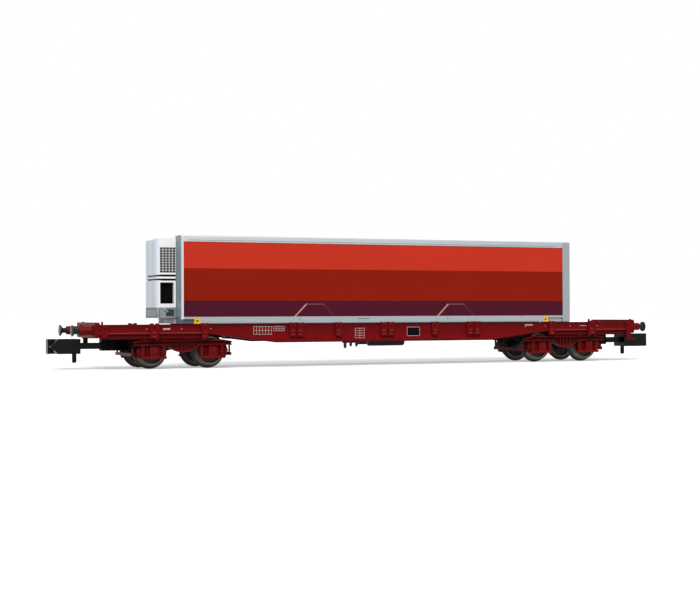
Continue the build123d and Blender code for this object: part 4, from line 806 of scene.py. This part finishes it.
class FLATCAR_OT_underframe(FlatcarOperator, bpy.types.Operator):
    """Painted underframe with its rivets, chequer plate, blank print and brake pipe"""
    bl_idname = "flatcar.underframe"
    bl_label = "Underframe"

    # blank printed forms on a sill: X and Z of two corners in millimetres, columns, rows
    FORMS = ((-27.7, 6.25, -24.0, 7.8, 6, 2), (-23.7, 6.9, -21.4, 7.8, 4, 2),
             (-6.8, 5.4, -4.75, 7.35, 2, 4))
    # the chalk board and plain white bars: X and Z of two corners in millimetres
    BOARD = (4.4, 5.7, 7.2, 7.5)
    BARS = ((-45.25, 7.28, -43.9, 7.58), (31.2, 7.6, 33.0, 7.84), (31.2, 7.3, 31.35, 7.6),
            (44.3, 7.45, 46.0, 7.56))
    # stakes: X of the group in millimetres, how many stand in it, height in millimetres
    STAKES = ((-46.97, 1, 2.88), (-37.33, 1, 2.88), (-19.08, 2, 2.7), (-10.38, 1, 2.7), (0.0, 2, 2.7),
              (10.38, 1, 2.7), (19.08, 2, 2.7), (37.33, 1, 2.88), (46.97, 1, 2.88))
    STAKE_PITCH = 1.55
    STAKE_T = 0.33 * MM
    # a stake's slots, as shares of its height, with the drop, half width and half height of the painted
    # highlights on their lips
    STAKE_SLOTS = (0.2, 0.45)
    LIP_DROP, LIP_W, LIP_H = mm(0.09, 0.3, 0.035)
    HOLE_DROP, HOLE_DEPTH, HOLE_R = mm(0.78, 0.12, 0.21)
    # white dots along a sill, in millimetres
    DOTS = (-48.3, -41.7, -36.1, 36.1, 42.0, 48.6)
    DOT_Z = 7.45
    DOT_R = 0.09 * MM
    # round lugs: X and Z in millimetres; the height, foot and head of a lug and of its pin
    LUGS = ((-8.7, 6.45), (8.6, 6.35), (14.8, 6.4), (16.6, 6.4), (-14.9, 5.4))
    LUG = (0.08, 0.26, 0.22)
    LUG_PIN = (0.12, 0.16, 0.13)
    SILL_LIP = 0.15 * MM
    SILL_FLANGE_T = 0.3 * MM
    END_WEB_H = 1.75 * MM
    TOE_X = 36.8 * MM
    CASING_L = 2.5 * MM             # of the buffers, past the headstock's face
    PIPE_R = 0.2 * MM
    PIPE_BESIDE, PIPE_UNDER, PIPE_DROP = mm(0.7, 0.25, 0.9)  # from sill, beams and end deck

    def execute(self, context):
        red = satin_paint("frame_paint", self.colours.frame_red)
        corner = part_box("side_sill_far")[1]
        self.web = corner.y - self.SILL_LIP
        lip_foot = corner.z - self.END_WEB_H
        sill = sill_paint("sill_paint", self.colours, corner.z, self.web,
                          (lip_foot, lip_foot + self.SILL_FLANGE_T), self.TOE_X)
        dress(each("side_sill_{}", SIDE_NAMES), sill, self.sizes.edge)
        dress([*each("headstock_{}", ENDS), *each("end_deck_{}", ENDS), "centre_sill", "cross_beams",
               "container_pads"], red, self.sizes.edge)
        dress([*each("stakes_{}", SIDE_NAMES), "corner_plates"], red, self.sizes.fine_edge)
        buffer = moulded_plastic("buffer_plastic", self.colours.buffer_grey)
        dress(["buffer_heads"], buffer, self.sizes.edge)
        dress(["pivot_screws"], turned_steel("screw_steel", self.colours.steel))
        self.add_rivets(red)
        self.add_chequer_plate(red)
        self.add_print()
        self.add_lugs(red)
        self.add_stake_marks()
        self.add_brake_pipe(red)
        return {"FINISHED"}

    def add_rivets(self, red):
        """Rivets in two rows across the headstocks."""
        rows, inset = [], 0.6 * MM
        for end, way in zip(ENDS, SIDES):
            low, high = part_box(f"headstock_{end}")
            face = way * (max(abs(low.x), abs(high.x)) - self.CASING_L)
            for z in (low.z + 0.35 * MM, high.z - 0.5 * MM):
                rows.append((((face, low.y + inset, z), (face, high.y - inset, z)), (way, 0, 0), False))
        grow_rivets("headstock_rivets", rows, red, self.sizes.rivet_pitch,
                    self.sizes.rivet_radius, self.sizes.rivet_height)

    def add_chequer_plate(self, red):
        pitch = self.sizes.chequer_pitch
        for end in ENDS:
            low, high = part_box(f"end_deck_{end}")
            span, width = high.x - low.x - 2 * pitch, high.y - low.y - 4 * pitch
            columns, rows = int(span / pitch) + 1, 2 * int(width / pitch / 2) + 1
            grow(f"chequer_plate_{end}", chequer_tree(), {
                "Length": span, "Width": width, "Columns": columns, "Rows": rows,
                "Centre": ((low.x + high.x) / 2, 0.0, high.z), "Lozenge": pitch * 0.4, "Height": 0.05 * MM,
                "Material": red}, "wagon")

    def add_print(self):
        """Blank outlines, a chalk board and white dots on both sills."""
        proud, line = self.sizes.print_proud, self.sizes.print_line
        ink, board = Maker(), Maker()
        for *corners, columns, rows in (*self.FORMS, (*self.BOARD, 1, 1)):
            x0, z0, x1, z1 = mm(*corners)
            for row in range(rows + 1):
                z = z0 + (z1 - z0 - line) * row / rows
                ink.plates(self.web, proud, x0, z, x1, z + line)
            for column in range(columns + 1):
                x = x0 + (x1 - x0 - line) * column / columns
                ink.plates(self.web, proud, x, z0 + line / 2, x + line, z1 - line / 2)
        x0, z0, x1, z1 = mm(*self.BOARD)
        board.plates(self.web, proud, x0 + line, z0 + line, x1 - line, z1 - line)
        for bar in self.BARS:
            ink.plates(self.web, proud, *mm(*bar))
        for x in self.DOTS:
            ink.studs(self.web, proud, *mm(x, self.DOT_Z), self.DOT_R)
        ink.piece("printed_outlines", flat_print("white_ink", self.colours.print_white), "frame_red")
        board.piece("chalk_boards", flat_print("board_ink", self.colours.unit_dark, 0.05), "frame_red")

    def add_stake_marks(self):
        """Painted highlights on the lips under the stakes' slots, and painted shade at the ground of their
        holes.
        """
        lip_highlights, holes = Maker(), Maker()
        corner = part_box("stakes_far")[1]
        ground = corner.y - self.STAKE_T + 0.02 * MM
        for group_x, count, height in self.STAKES:
            for place in range(count):
                x = (group_x + (place - (count - 1) / 2) * self.STAKE_PITCH) * MM
                for share in self.STAKE_SLOTS:
                    z = corner.z - height * (1 - share) * MM - self.LIP_DROP
                    lip_highlights.plates(corner.y, self.sizes.print_proud, x - self.LIP_W, z - self.LIP_H,
                                x + self.LIP_W, z + self.LIP_H)
                # Painted shade: a dark disc at the ground of each hole
                holes.studs(ground, self.HOLE_DEPTH, x, corner.z - self.HOLE_DROP, self.HOLE_R)
        lip_highlights.piece("stake_slot_highlights", flat_print("worn_red", self.colours.worn_red), "frame_red")
        holes.piece("stake_holes", flat_print("hole_black", self.colours.board_black), "frame_red")

    def add_lugs(self, red):
        """Round lugs on the sills, each a boss with a dark pin that is painted shade of the lug's hole."""
        lugs, pins = Maker(), Maker()
        for place in self.LUGS:
            for maker, sizes in ((lugs, self.LUG), (pins, self.LUG_PIN)):
                height, foot, head = mm(*sizes)
                maker.studs(self.web, height, *mm(*place), foot, head)
        lugs.piece("sill_lugs", red, "frame_red")
        # Painted shade: the dark pins stand for the shade in the lugs' holes
        pins.piece("sill_lug_pins", flat_print("pin_black", self.colours.board_black), "frame_red")

    def add_brake_pipe(self, red):
        """Brake pipe along the underframe, lower under the cross beams."""
        low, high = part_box("centre_sill")
        end_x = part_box("headstock_right")[0].x
        y = low.y - self.PIPE_BESIDE
        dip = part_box("cross_beams")[0].z - self.PIPE_UNDER
        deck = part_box("end_deck_right")[1].z - self.PIPE_DROP
        before, after = 1.4 * MM, 0.4 * MM      # the bend's ends, outside and inside the centre sill's end
        path = ((-end_x, deck), (low.x - before, deck), (low.x + after, dip),
                (high.x - after, dip), (high.x + before, deck), (end_x, deck))
        curve = bpy.data.curves.new("brake_pipe", "CURVE")
        curve.dimensions = "3D"
        curve.bevel_depth = self.PIPE_R
        curve.bevel_resolution = 3
        curve.use_fill_caps = True
        spline = curve.splines.new("POLY")
        spline.points.add(len(path) - 1)
        for point, (x, z) in zip(spline.points, path):
            point.co = (x, y, z, 1.0)
        holder = bpy.data.objects.new("brake_pipe_line", curve)
        mesh = bpy.data.meshes.new_from_object(holder)
        bpy.data.objects.remove(holder)
        mesh.name = "brake_pipe"
        place_piece("brake_pipe", mesh, red, "wagon")


class FLATCAR_OT_brake_gear(FlatcarOperator, bpy.types.Operator):
    """Levers under the sills, air tank and brake cylinder"""
    bl_idname = "flatcar.brake_gear"
    bl_label = "Brake gear"

    def execute(self, context):
        dress(["brake_levers"], moulded_plastic("lever_plastic", self.colours.plum), self.sizes.fine_edge)
        dress(["air_tank", "brake_cylinder"], moulded_plastic("tank_plastic", self.colours.board_black),
              self.sizes.edge)
        return {"FINISHED"}


class FLATCAR_OT_couplers(FlatcarOperator, bpy.types.Operator):
    """Black plastic couplers, with painted shade on their arms"""
    bl_idname = "flatcar.couplers"
    bl_label = "Couplers"

    ARM_TONE = 0.6

    def execute(self, context):
        black = self.colours.coupler_black
        head = moulded_plastic("coupler_plastic", black, 0.34)
        # Painted shade: the arms, under the wagon, in a darker copy of the coupler plastic
        arm = moulded_plastic("coupler_arm_plastic", shade(black, self.ARM_TONE), 0.5, 0.06)
        dress(each("coupler_head_{}", ENDS), head, self.sizes.edge)
        dress(each("coupler_arm_{}", ENDS), arm, self.sizes.edge)
        return {"FINISHED"}


class FLATCAR_OT_container(FlatcarOperator, bpy.types.Operator):
    """Container with printed sides, silver rails, rivets, doors and roof seams"""
    bl_idname = "flatcar.container"
    bl_label = "Container"

    LOWER_BAND_Z = 12.65 * MM
    UPPER_BAND_Z = 18.7 * MM
    BEAD_PROUD = 0.08 * MM
    FOOT_H = 0.85 * MM
    FRONT_CORNER_Y = 4.1 * MM
    REAR_POST_TONE = 0.88
    NOTCH_TONE = 0.35
    SLOT_TONE = 0.25
    GRAPPLE_SPACING = 30.48 * MM
    # middles of the plain pads and both ends of the lashing slot on a bottom rail, in millimetres
    PADS = (-16.5, 15.2)
    PAD_HALF = 1.5
    PAD_HOLE = 1.85                 # hole beside a pad, from the pad's middle
    LASHING_SLOT = (-6.2, -3.7)
    # feet and heads of these marks above the rail's foot, and how far they stand proud
    PAD_FOOT, PAD_HEAD = mm(0.45, 1.1)
    HOLE_Z, HOLE_R = mm(0.8, 0.11)
    SLOT_FOOT, SLOT_HEAD = mm(0.78, 0.88)
    MARK_PROUD = 0.02 * MM
    CASTING_CLEAR = 1.9 * MM        # where the rows and strips between the castings begin
    RAIL_STUD_R, POST_STUD_R, STUD_H = mm(0.09, 0.08, 0.03)
    DASH_FIRST, DASH_LAST, DASH_Z = mm(1.2, 2.0, 0.28)   # from the top rail's ends and foot
    DOT_Z = 0.1 * MM                # above the bottom rail's foot
    POST_FRONT, POST_FOOT, POST_HEAD = mm(0.12, 1.5, 0.9)    # of the row on a front post
    PACKING_INSET, PACKING_W = mm(0.55, 0.3)
    ROOF_PANELS = 13
    ROOF_SEAM_L, ROOF_SEAM_H = mm(0.5, 0.08)
    HINGES = (0.1, 0.37, 0.63, 0.9)     # shares of a door's height
    HINGE_L, HINGE_T, HINGE_HALF = mm(1.6, 0.12, 0.2)
    PIN_OUT, PIN_HALF, PIN_R = mm(0.1, 0.3, 0.13)
    HANDLE_SHARE = 0.26
    HANDLE_L, HANDLE_T, HANDLE_HALF = mm(1.3, 0.12, 0.1)
    LOCK_RODS = mm(1.6, 5.0)    # from the middle
    SEAL_W, SEAL_HALF = mm(0.14, 0.05)

    def execute(self, context):
        colours, fine, edge = self.colours, self.sizes.fine_edge, self.sizes.edge
        silver = silver_paint("rail_silver", colours.rail_silver)
        white = satin_paint("rail_white", colours.rail_white, 0.4, 0.3, 0.04, 0.02)
        grey = satin_paint("front_grey", colours.front_grey, 0.45, 0.2, 0.08, 0.05)
        yellow = satin_paint("casting_yellow", colours.casting_yellow, 0.4, 0.12, 0.08, 0.1)
        seam = satin_paint("rail_seam", colours.seam_grey, 0.5, 0.15, 0.06, 0.04)
        bead_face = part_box("container_side_far")[1].y - self.BEAD_PROUD / 2
        banded = banded_side("container_bands", colours, (self.LOWER_BAND_Z, self.UPPER_BAND_Z), bead_face,
                             self.GRAPPLE_SPACING)
        front_low, front_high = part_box("container_front_posts")
        front_x, foot_z = front_low.x, front_low.z + self.FOOT_H
        rail_low, rail_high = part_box("container_top_rails")
        # Painted shade toward the doors along the top rails
        pale = silver_paint("top_silver", colours.top_silver, 0.1, colours.top_shade,
                            (rail_low.x, rail_high.x))
        # Painted shade: the rear posts in a darker copy of the rails' silver
        rear = silver_paint("rear_post_silver", shade(colours.rail_silver, self.REAR_POST_TONE))
        bottom = undercut_silver("bottom_rail_silver", colours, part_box("container_castings")[0].x, foot_z)
        header = end_frame_paint("header_paint", colours, colours.top_silver, front_x, foot_z)
        post = end_frame_paint("front_post_paint", colours, colours.rail_white, front_x, foot_z)
        end_sill = end_sill_paint("end_sill_paint", colours, self.FRONT_CORNER_Y)
        for pieces, material, rounding in (
                (each("side_{}", SIDE_NAMES), banded, fine), (["rear_posts"], rear, edge),
                (["bottom_rails"], bottom, edge), (["top_rails"], pale, fine), (["headers"], header, fine),
                (["end_sills"], end_sill, fine), (["front_posts"], post, fine),
                (["front_wall", "floor"], grey, fine), (["castings"], yellow, fine),
                (["roof", *each("door_{}", SIDE_NAMES)], white, edge), (["lock_rods"], silver, fine)):
            dress(each("container_{}", pieces), material, rounding)
        self.add_rail_rivets(seam)
        self.add_post_rivets(seam, front_low, front_high)
        self.add_packing()
        self.add_rail_marks(silver)
        self.add_roof_seams(white)
        self.add_door_fittings(silver)
        return {"FINISHED"}

    def add_rail_marks(self, silver):
        """Plain pads beside the grapple places and a lashing slot on the bottom rails."""
        low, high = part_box("container_bottom_rails")
        pads, slots = Maker(), Maker()
        for centre in self.PADS:
            x0, x1, hole = mm(centre - self.PAD_HALF, centre + self.PAD_HALF, centre - self.PAD_HOLE)
            pads.plates(high.y, self.MARK_PROUD, x0, low.z + self.PAD_FOOT, x1, low.z + self.PAD_HEAD)
            slots.studs(high.y, self.MARK_PROUD, hole, low.z + self.HOLE_Z, self.HOLE_R)
        x0, x1 = mm(*self.LASHING_SLOT)
        slots.plates(high.y, self.MARK_PROUD, x0, low.z + self.SLOT_FOOT, x1, low.z + self.SLOT_HEAD)
        dark = flat_print("slot_dark", shade(self.colours.unit_grey, self.SLOT_TONE))
        pads.piece("rail_pads", silver, "container_silver")
        slots.piece("rail_slots", dark, "unit_dark")

    def add_rail_rivets(self, seam):
        """A dashed row under the top rail's white face, and dots along the bottom rail."""
        notch = shade(self.colours.seam_grey, self.NOTCH_TONE)
        dark = satin_paint("rail_notch", notch, 0.5, 0.1, 0.1, 0.05)
        top_low, top_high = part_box("container_top_rails")
        foot_low, foot_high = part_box("container_bottom_rails")
        first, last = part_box("container_castings")
        for name, paint, stretch, face, x0, x1, z in (
                ("top_rail_rivets", seam, 1.9, top_high.y, top_low.x + self.DASH_FIRST,
                 top_high.x - self.DASH_LAST, top_low.z + self.DASH_Z),
                ("bottom_rail_rivets", dark, 1.25, foot_high.y, first.x + self.CASTING_CLEAR,
                 last.x - self.CASTING_CLEAR, foot_low.z + self.DOT_Z)):
            grow_rivets(name, side_rows(face, (x0, z), (x1, z)), paint,
                        self.sizes.rail_pitch, self.RAIL_STUD_R, self.STUD_H, stretch)

    def add_post_rivets(self, seam, low, high):
        """A row of rivets up the outer face of each front post."""
        x = low.x + self.POST_FRONT
        rows = side_rows(high.y, (x, low.z + self.POST_FOOT), (x, high.z - self.POST_HEAD))
        grow_rivets("post_rivets", rows, seam, self.sizes.rail_pitch, self.POST_STUD_R,
                    self.STUD_H)

    def add_packing(self):
        """Thin dark strips of painted shade in the gap between the sills and the container's bottom rails.
        """
        rail_low, rail_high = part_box("container_bottom_rails")
        first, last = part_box("container_castings")
        rear_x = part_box("container_rear_posts")[1].x - 0.1 * MM
        sunk = 0.01 * MM
        foot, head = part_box("side_sill_near")[1].z - sunk, rail_low.z + sunk
        strips = Maker()
        for x0, x1 in ((first.x + self.CASTING_CLEAR, last.x - self.CASTING_CLEAR),
                       (last.x + 0.7 * MM, rear_x)):
            strips.plates(rail_high.y - self.PACKING_INSET, self.PACKING_W, x0, foot, x1, head)
        strips.piece("gap_shade_strips", flat_print("packing_rubber", self.colours.rubber), "unit_dark")

    def add_roof_seams(self, white):
        low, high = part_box("container_roof")
        step = (high.x - low.x) / self.ROOF_PANELS
        grow("roof_seams", slat_tree(), {
            "Count": self.ROOF_PANELS - 1, "First": (low.x + step, 0.0, high.z), "Step": (step, 0.0, 0.0),
            "Size": (self.ROOF_SEAM_L, high.y - low.y, self.ROOF_SEAM_H), "Material": white},
            "wagon")

    def add_door_fittings(self, silver):
        """Hinges, handles and rubber seals of the two rear doors."""
        fittings, seals = Maker(), Maker()
        rod_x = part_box("container_lock_rods")[1].x
        for side_name, side in zip(SIDE_NAMES, SIDES):
            low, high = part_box(f"container_door_{side_name}")
            face, span = high.x, high.z - low.z
            outer, inner = (side * choose(abs(low.y), abs(high.y)) for choose in (max, min))
            pin_x, half = face + self.PIN_OUT, self.SEAL_HALF
            for share in self.HINGES:
                z = low.z + span * share
                fittings.box((face, outer, z - self.HINGE_HALF),
                             (face + self.HINGE_T, outer - side * self.HINGE_L, z + self.HINGE_HALF))
                ends = [(pin_x, outer, z + way * self.PIN_HALF) for way in SIDES]
                fittings.rod(*ends, self.PIN_R)
            z = low.z + span * self.HANDLE_SHARE
            for inset in self.LOCK_RODS:
                fittings.box((rod_x - self.HANDLE_T, side * inset, z - self.HANDLE_HALF),
                             (rod_x, side * (inset + self.HANDLE_L), z + self.HANDLE_HALF))
            for y0, y1 in ((outer, outer - side * self.SEAL_W), (inner - half, inner + half)):
                seals.box((face - half, y0, low.z), (face + half, y1, high.z))
        fittings.piece("door_fittings", silver, "container_silver", self.sizes.fine_edge)
        rubber = moulded_plastic("seal_rubber", self.colours.rubber, 0.6, 0.1)
        seals.piece("door_seals", rubber, "unit_dark")


class FLATCAR_OT_cooling_unit(FlatcarOperator, bpy.types.Operator):
    """Cooling unit with dark grilles, seams, window seals and a grey foot"""
    bl_idname = "flatcar.cooling_unit"
    bl_label = "Cooling unit"

    RIDGE = 0.38 * MM
    BAR_TONE = 0.8
    # the grille: its edges from the upper cover's front, foot, back and head
    GRILLE = mm(0.68, 0.4, 0.05, 2.12)
    # the window: its edges from the lower cover's front, foot, back and head
    WINDOW = mm(0.85, 0.8, 0.5, 0.6)
    # the rubber round the window at its front, foot, back and head
    SEAL = mm(0.14, 0.05, 0.05, 0.18)
    # seams on the front, as shares of its width, and how far each cover's seams end below its head
    SEAMS = (0.3, 0.7)
    SEAM_ENDS = (("unit_upper_cover", 1.2 * MM), ("unit_lower_cover", 0.25 * MM))
    PANEL_TONE = 0.55
    FRAME_TONE = 1.3

    def execute(self, context):
        colours = self.colours
        grey = moulded_plastic("unit_grey", colours.unit_grey, 0.45, 0.2)
        upper, lower, band = (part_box(f"unit_{piece}") for piece in ("upper_cover", "lower_cover", "band"))
        grille, window = self.opening(upper, self.GRILLE), self.opening(lower, self.WINDOW)
        dress(["unit_upper_cover"],
              pierced_cover("unit_upper_white", colours, upper, grille, self.BAR_TONE, upper[0].z))
        dress(["unit_lower_cover"],
              pierced_cover("unit_lower_white", colours, lower, window, 1.0, lower[1].z))
        dress(["unit_band"], grooved_band("unit_band_white", colours, band, self.RIDGE))
        dress(["unit_base"], grey, self.sizes.edge)
        dress(["unit_core"], moulded_plastic("unit_dark", colours.unit_dark, 0.6, 0.04))
        self.add_seams(grey)
        self.add_window_seals(window, lower[1].y)
        self.add_foot_fittings()
        return {"FINISHED"}

    @staticmethod
    def opening(box, margins):
        """X and Z of two corners of an opening, from a cover's box and the opening's margins."""
        low, high = box
        front, foot, back, head = margins
        return low.x + front, low.z + foot, high.x - back, high.z - head

    def add_window_seals(self, window, face):
        """A rubber seal round the window on each side."""
        x0, z0, x1, z1 = window
        front, foot, back, head = self.SEAL
        seals = Maker()
        for corners in ((x0 - front, z0 - foot, x0, z1 + head), (x1, z0 - foot, x1 + back, z1 + head),
                        (x0, z0 - foot, x1, z0), (x0, z1, x1, z1 + head)):
            seals.plates(face - 0.02 * MM, 0.05 * MM, *corners)
        black = flat_print("seal_black", self.colours.unit_dark, 0.05)
        seals.piece("unit_window_seals", black, "unit_dark")

    def add_seams(self, grey):
        """Shallow seams on the front of both covers."""
        seams = Maker()
        for node, drop in self.SEAM_ENDS:
            low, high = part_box(node)
            for share in self.SEAMS:
                y = low.y + (high.y - low.y) * share
                seams.box((low.x - 0.01 * MM, y - 0.04 * MM, low.z + 0.25 * MM),
                          (low.x + 0.05 * MM, y + 0.04 * MM, high.z - drop))
        seams.piece("unit_seams", grey, "unit_grey")

    def add_foot_fittings(self):
        """Sunk panels with a pale frame on the foot, and a pipe elbow with its union on each side."""
        low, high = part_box("unit_base")
        face, proud, gap = high.y, 0.02 * MM, 0.05 * MM
        panels, frames, pipes = Maker(), Maker(), Maker()
        z0, z1 = low.z + 0.3 * MM, high.z - 0.3 * MM
        front, back, seam_x = low.x + 1.75 * MM, high.x - 0.3 * MM, low.x + 0.5 * MM
        top = high.z - 0.02 * MM
        for corners in ((front, z0, back, z1), (seam_x, low.z + 0.02 * MM, seam_x + 0.08 * MM, top),
                        (seam_x, top - 0.07 * MM, high.x, top)):
            panels.plates(face, proud, *corners)
        for corners in ((front - gap, z0 - gap, back + gap, z0), (front - gap, z1, back + gap, z1 + gap),
                        (back, z0, back + gap, z1)):
            frames.plates(face, proud, *corners)
        near, far = low.y + 0.5 * MM, high.y - 0.5 * MM
        for y0, y1, foot, head in ((near, far, z0 - gap, z0), (near, far, z1, z1 + gap),
                                   (near, near + gap, z0, z1), (far - gap, far, z0, z1)):
            panels.box((low.x - proud, y0, foot), (low.x, y1, head))
        x, z = low.x + 1.35 * MM, high.z - 0.28 * MM
        pipes.studs(face, 0.2 * MM, x, z, 0.32 * MM, 0.26 * MM)
        # the elbow's arm and its union: both ends from the elbow's middle, then the radius, in millimetres
        for start, end, radius in (((0.0, 0.12, 0.0), (0.75, 0.16, -0.62), 0.15),
                                   ((0.5, 0.14, -0.4), (0.68, 0.16, -0.56), 0.22)):
            for side in SIDES:
                ends = [(x + a * MM, side * (face + b * MM), z + c * MM) for a, b, c in (start, end)]
                pipes.rod(*ends, radius * MM)
        slate = shade(self.colours.slate, self.PANEL_TONE)
        pale = shade(self.colours.unit_grey, self.FRAME_TONE)
        panels.piece("unit_foot_panels", flat_print("foot_slate", slate), "unit_grey")
        frames.piece("unit_foot_frames", flat_print("foot_frame", pale), "unit_grey")
        pipes.piece("unit_pipe_elbows", turned_steel("elbow_metal", self.colours.brass), "unit_grey",
                    self.sizes.fine_edge)


class FLATCAR_OT_stage(FlatcarOperator, bpy.types.Operator):
    """White floor, soft light and the camera"""
    bl_idname = "flatcar.stage"
    bl_label = "Stage"

    WHITE = (1.0, 1.0, 1.0)
    FLOOR_HALF = 4.0
    FLOOR_Z = -0.02 * MM
    PAPER = 0.8

    def execute(self, context):
        self.studio = context.scene.flatcar_studio
        context.scene.view_settings.view_transform = "Standard"
        self.add_floor()
        self.add_world(context.scene)
        self.add_lights()
        self.add_camera(context.scene)
        return {"FINISHED"}

    @staticmethod
    def seen_directly(nodes):
        """1 for rays from the camera, and for those that a mirror or glass sends on."""
        rays = nodes.add("ShaderNodeLightPath")
        seen = rays.out("Is Camera Ray").larger(rays.out("Is Glossy Ray"))
        return seen.larger(rays.out("Is Transmission Ray"))

    def add_floor(self):
        """A white floor that keeps the shadow and is clear from below."""
        mesh = bpy.data.meshes.new("floor")
        half = self.FLOOR_HALF
        corners = ((-half, -half), (half, -half), (half, half), (-half, half))
        mesh.from_pydata([(x, y, self.FLOOR_Z) for x, y in corners], [], [(0, 1, 2, 3)])
        floor = bpy.data.objects.new("floor", mesh)
        bpy.context.scene.collection.objects.link(floor)
        finish = Finish("floor_white")
        seen = self.seen_directly(finish)
        glow = finish.add("ShaderNodeEmission", None, {
            "Color": self.WHITE, "Strength": seen * self.studio.floor_glow})
        dim, white = (shade(self.WHITE, share) for share in (self.studio.floor_bounce, self.PAPER))
        paper = finish.add("ShaderNodeBsdfDiffuse", None, {"Color": finish.mix(dim, white, seen)})
        both = finish.add("ShaderNodeAddShader", None, {0: glow, 1: paper})
        from_below = finish.add("ShaderNodeNewGeometry").out("Backfacing")
        clear = finish.add("ShaderNodeBsdfTransparent")
        shown = finish.add("ShaderNodeMixShader", None, {0: from_below, 1: both, 2: clear})
        finish.add("ShaderNodeOutputMaterial", None, {"Surface": shown})
        mesh.materials.append(finish.material)

    def add_world(self, scene):
        world = bpy.data.worlds.new("studio_white")
        world.use_nodes = True
        world.node_tree.nodes.clear()
        nodes = Nodes(world.node_tree)
        strength = self.studio.sky + self.seen_directly(nodes) * (1.0 - self.studio.sky)
        sky = nodes.add("ShaderNodeBackground", None, {"Color": self.WHITE, "Strength": strength})
        nodes.add("ShaderNodeOutputWorld", None, {"Surface": sky})
        scene.world = world

    def add_lights(self):
        """A soft key from the front left, and a cool fill on the faces along -X."""
        for name, strength, rgb, place, spread in (
                ("key_light", self.studio.key, (1.0, 0.985, 0.96), (-0.28, -0.62, 0.6), 30),
                ("cool_fill", self.studio.fill, (0.62, 0.82, 1.0), (-1.0, -0.15, 0.05), 40)):
            lamp = bpy.data.lights.new(name, "SUN")
            lamp.energy = strength
            lamp.color = rgb
            lamp.angle = radians(spread)
            holder = bpy.data.objects.new(name, lamp)
            holder.location = place
            holder.rotation_mode = "QUATERNION"
            holder.rotation_quaternion = (-Vector(place)).to_track_quat("-Z", "Y")
            bpy.context.scene.collection.objects.link(holder)

    def add_camera(self, scene):
        studio = self.studio
        reach = cos(studio.pitch)
        back = Vector((sin(studio.yaw) * reach, -cos(studio.yaw) * reach, sin(studio.pitch)))
        level = Vector((cos(studio.yaw), sin(studio.yaw), 0.0))
        upright = back.cross(level)
        right = level * cos(studio.roll) + upright * sin(studio.roll)
        up = upright * cos(studio.roll) - level * sin(studio.roll)
        camera = bpy.data.cameras.new("camera")
        camera.lens, camera.sensor_width, camera.sensor_fit = studio.lens, 36.0, "HORIZONTAL"
        camera.clip_start, camera.clip_end = 0.005, 20.0
        holder = bpy.data.objects.new("camera", camera)
        place = Vector((studio.target_x, 0.0, studio.target_z)) + back * studio.distance
        turn = Matrix((right, up, back)).transposed().to_4x4()
        holder.matrix_world = Matrix.Translation(place) @ turn
        scene.collection.objects.link(holder)
        scene.camera = holder


BUILD_ORDER = (
    FLATCAR_OT_wheelsets, FLATCAR_OT_bogies, FLATCAR_OT_underframe, FLATCAR_OT_brake_gear,
    FLATCAR_OT_couplers, FLATCAR_OT_container, FLATCAR_OT_cooling_unit, FLATCAR_OT_stage,
)
GROUPS = {"flatcar_colours": FlatcarColours, "flatcar_sizes": FlatcarSizes, "flatcar_studio": FlatcarStudio}


class FLATCAR_PT_build(bpy.types.Panel):
    """Lists the pieces of the model and their settings"""
    bl_idname = "FLATCAR_PT_build"
    bl_label = "Flatcar"
    bl_space_type = "VIEW_3D"
    bl_region_type = "UI"
    bl_category = "Flatcar"

    def draw(self, context):
        for operator in BUILD_ORDER:
            self.layout.operator(operator.bl_idname)
        for name, group in GROUPS.items():
            box = self.layout.box()
            for setting in group.__annotations__:
                box.prop(getattr(context.scene, name), setting)


CLASSES = (*GROUPS.values(), *BUILD_ORDER, FLATCAR_PT_build)


def register():
    for cls in CLASSES:
        bpy.utils.register_class(cls)
    for name, group in GROUPS.items():
        setattr(bpy.types.Scene, name, bpy.props.PointerProperty(type=group))


def unregister():
    for name in GROUPS:
        delattr(bpy.types.Scene, name)
    for cls in reversed(CLASSES):
        bpy.utils.unregister_class(cls)


def main():
    register()
    for operator in BUILD_ORDER:
        group, name = operator.bl_idname.split(".")
        getattr(getattr(bpy.ops, group), name)()


if __name__ == "__main__":
    main()
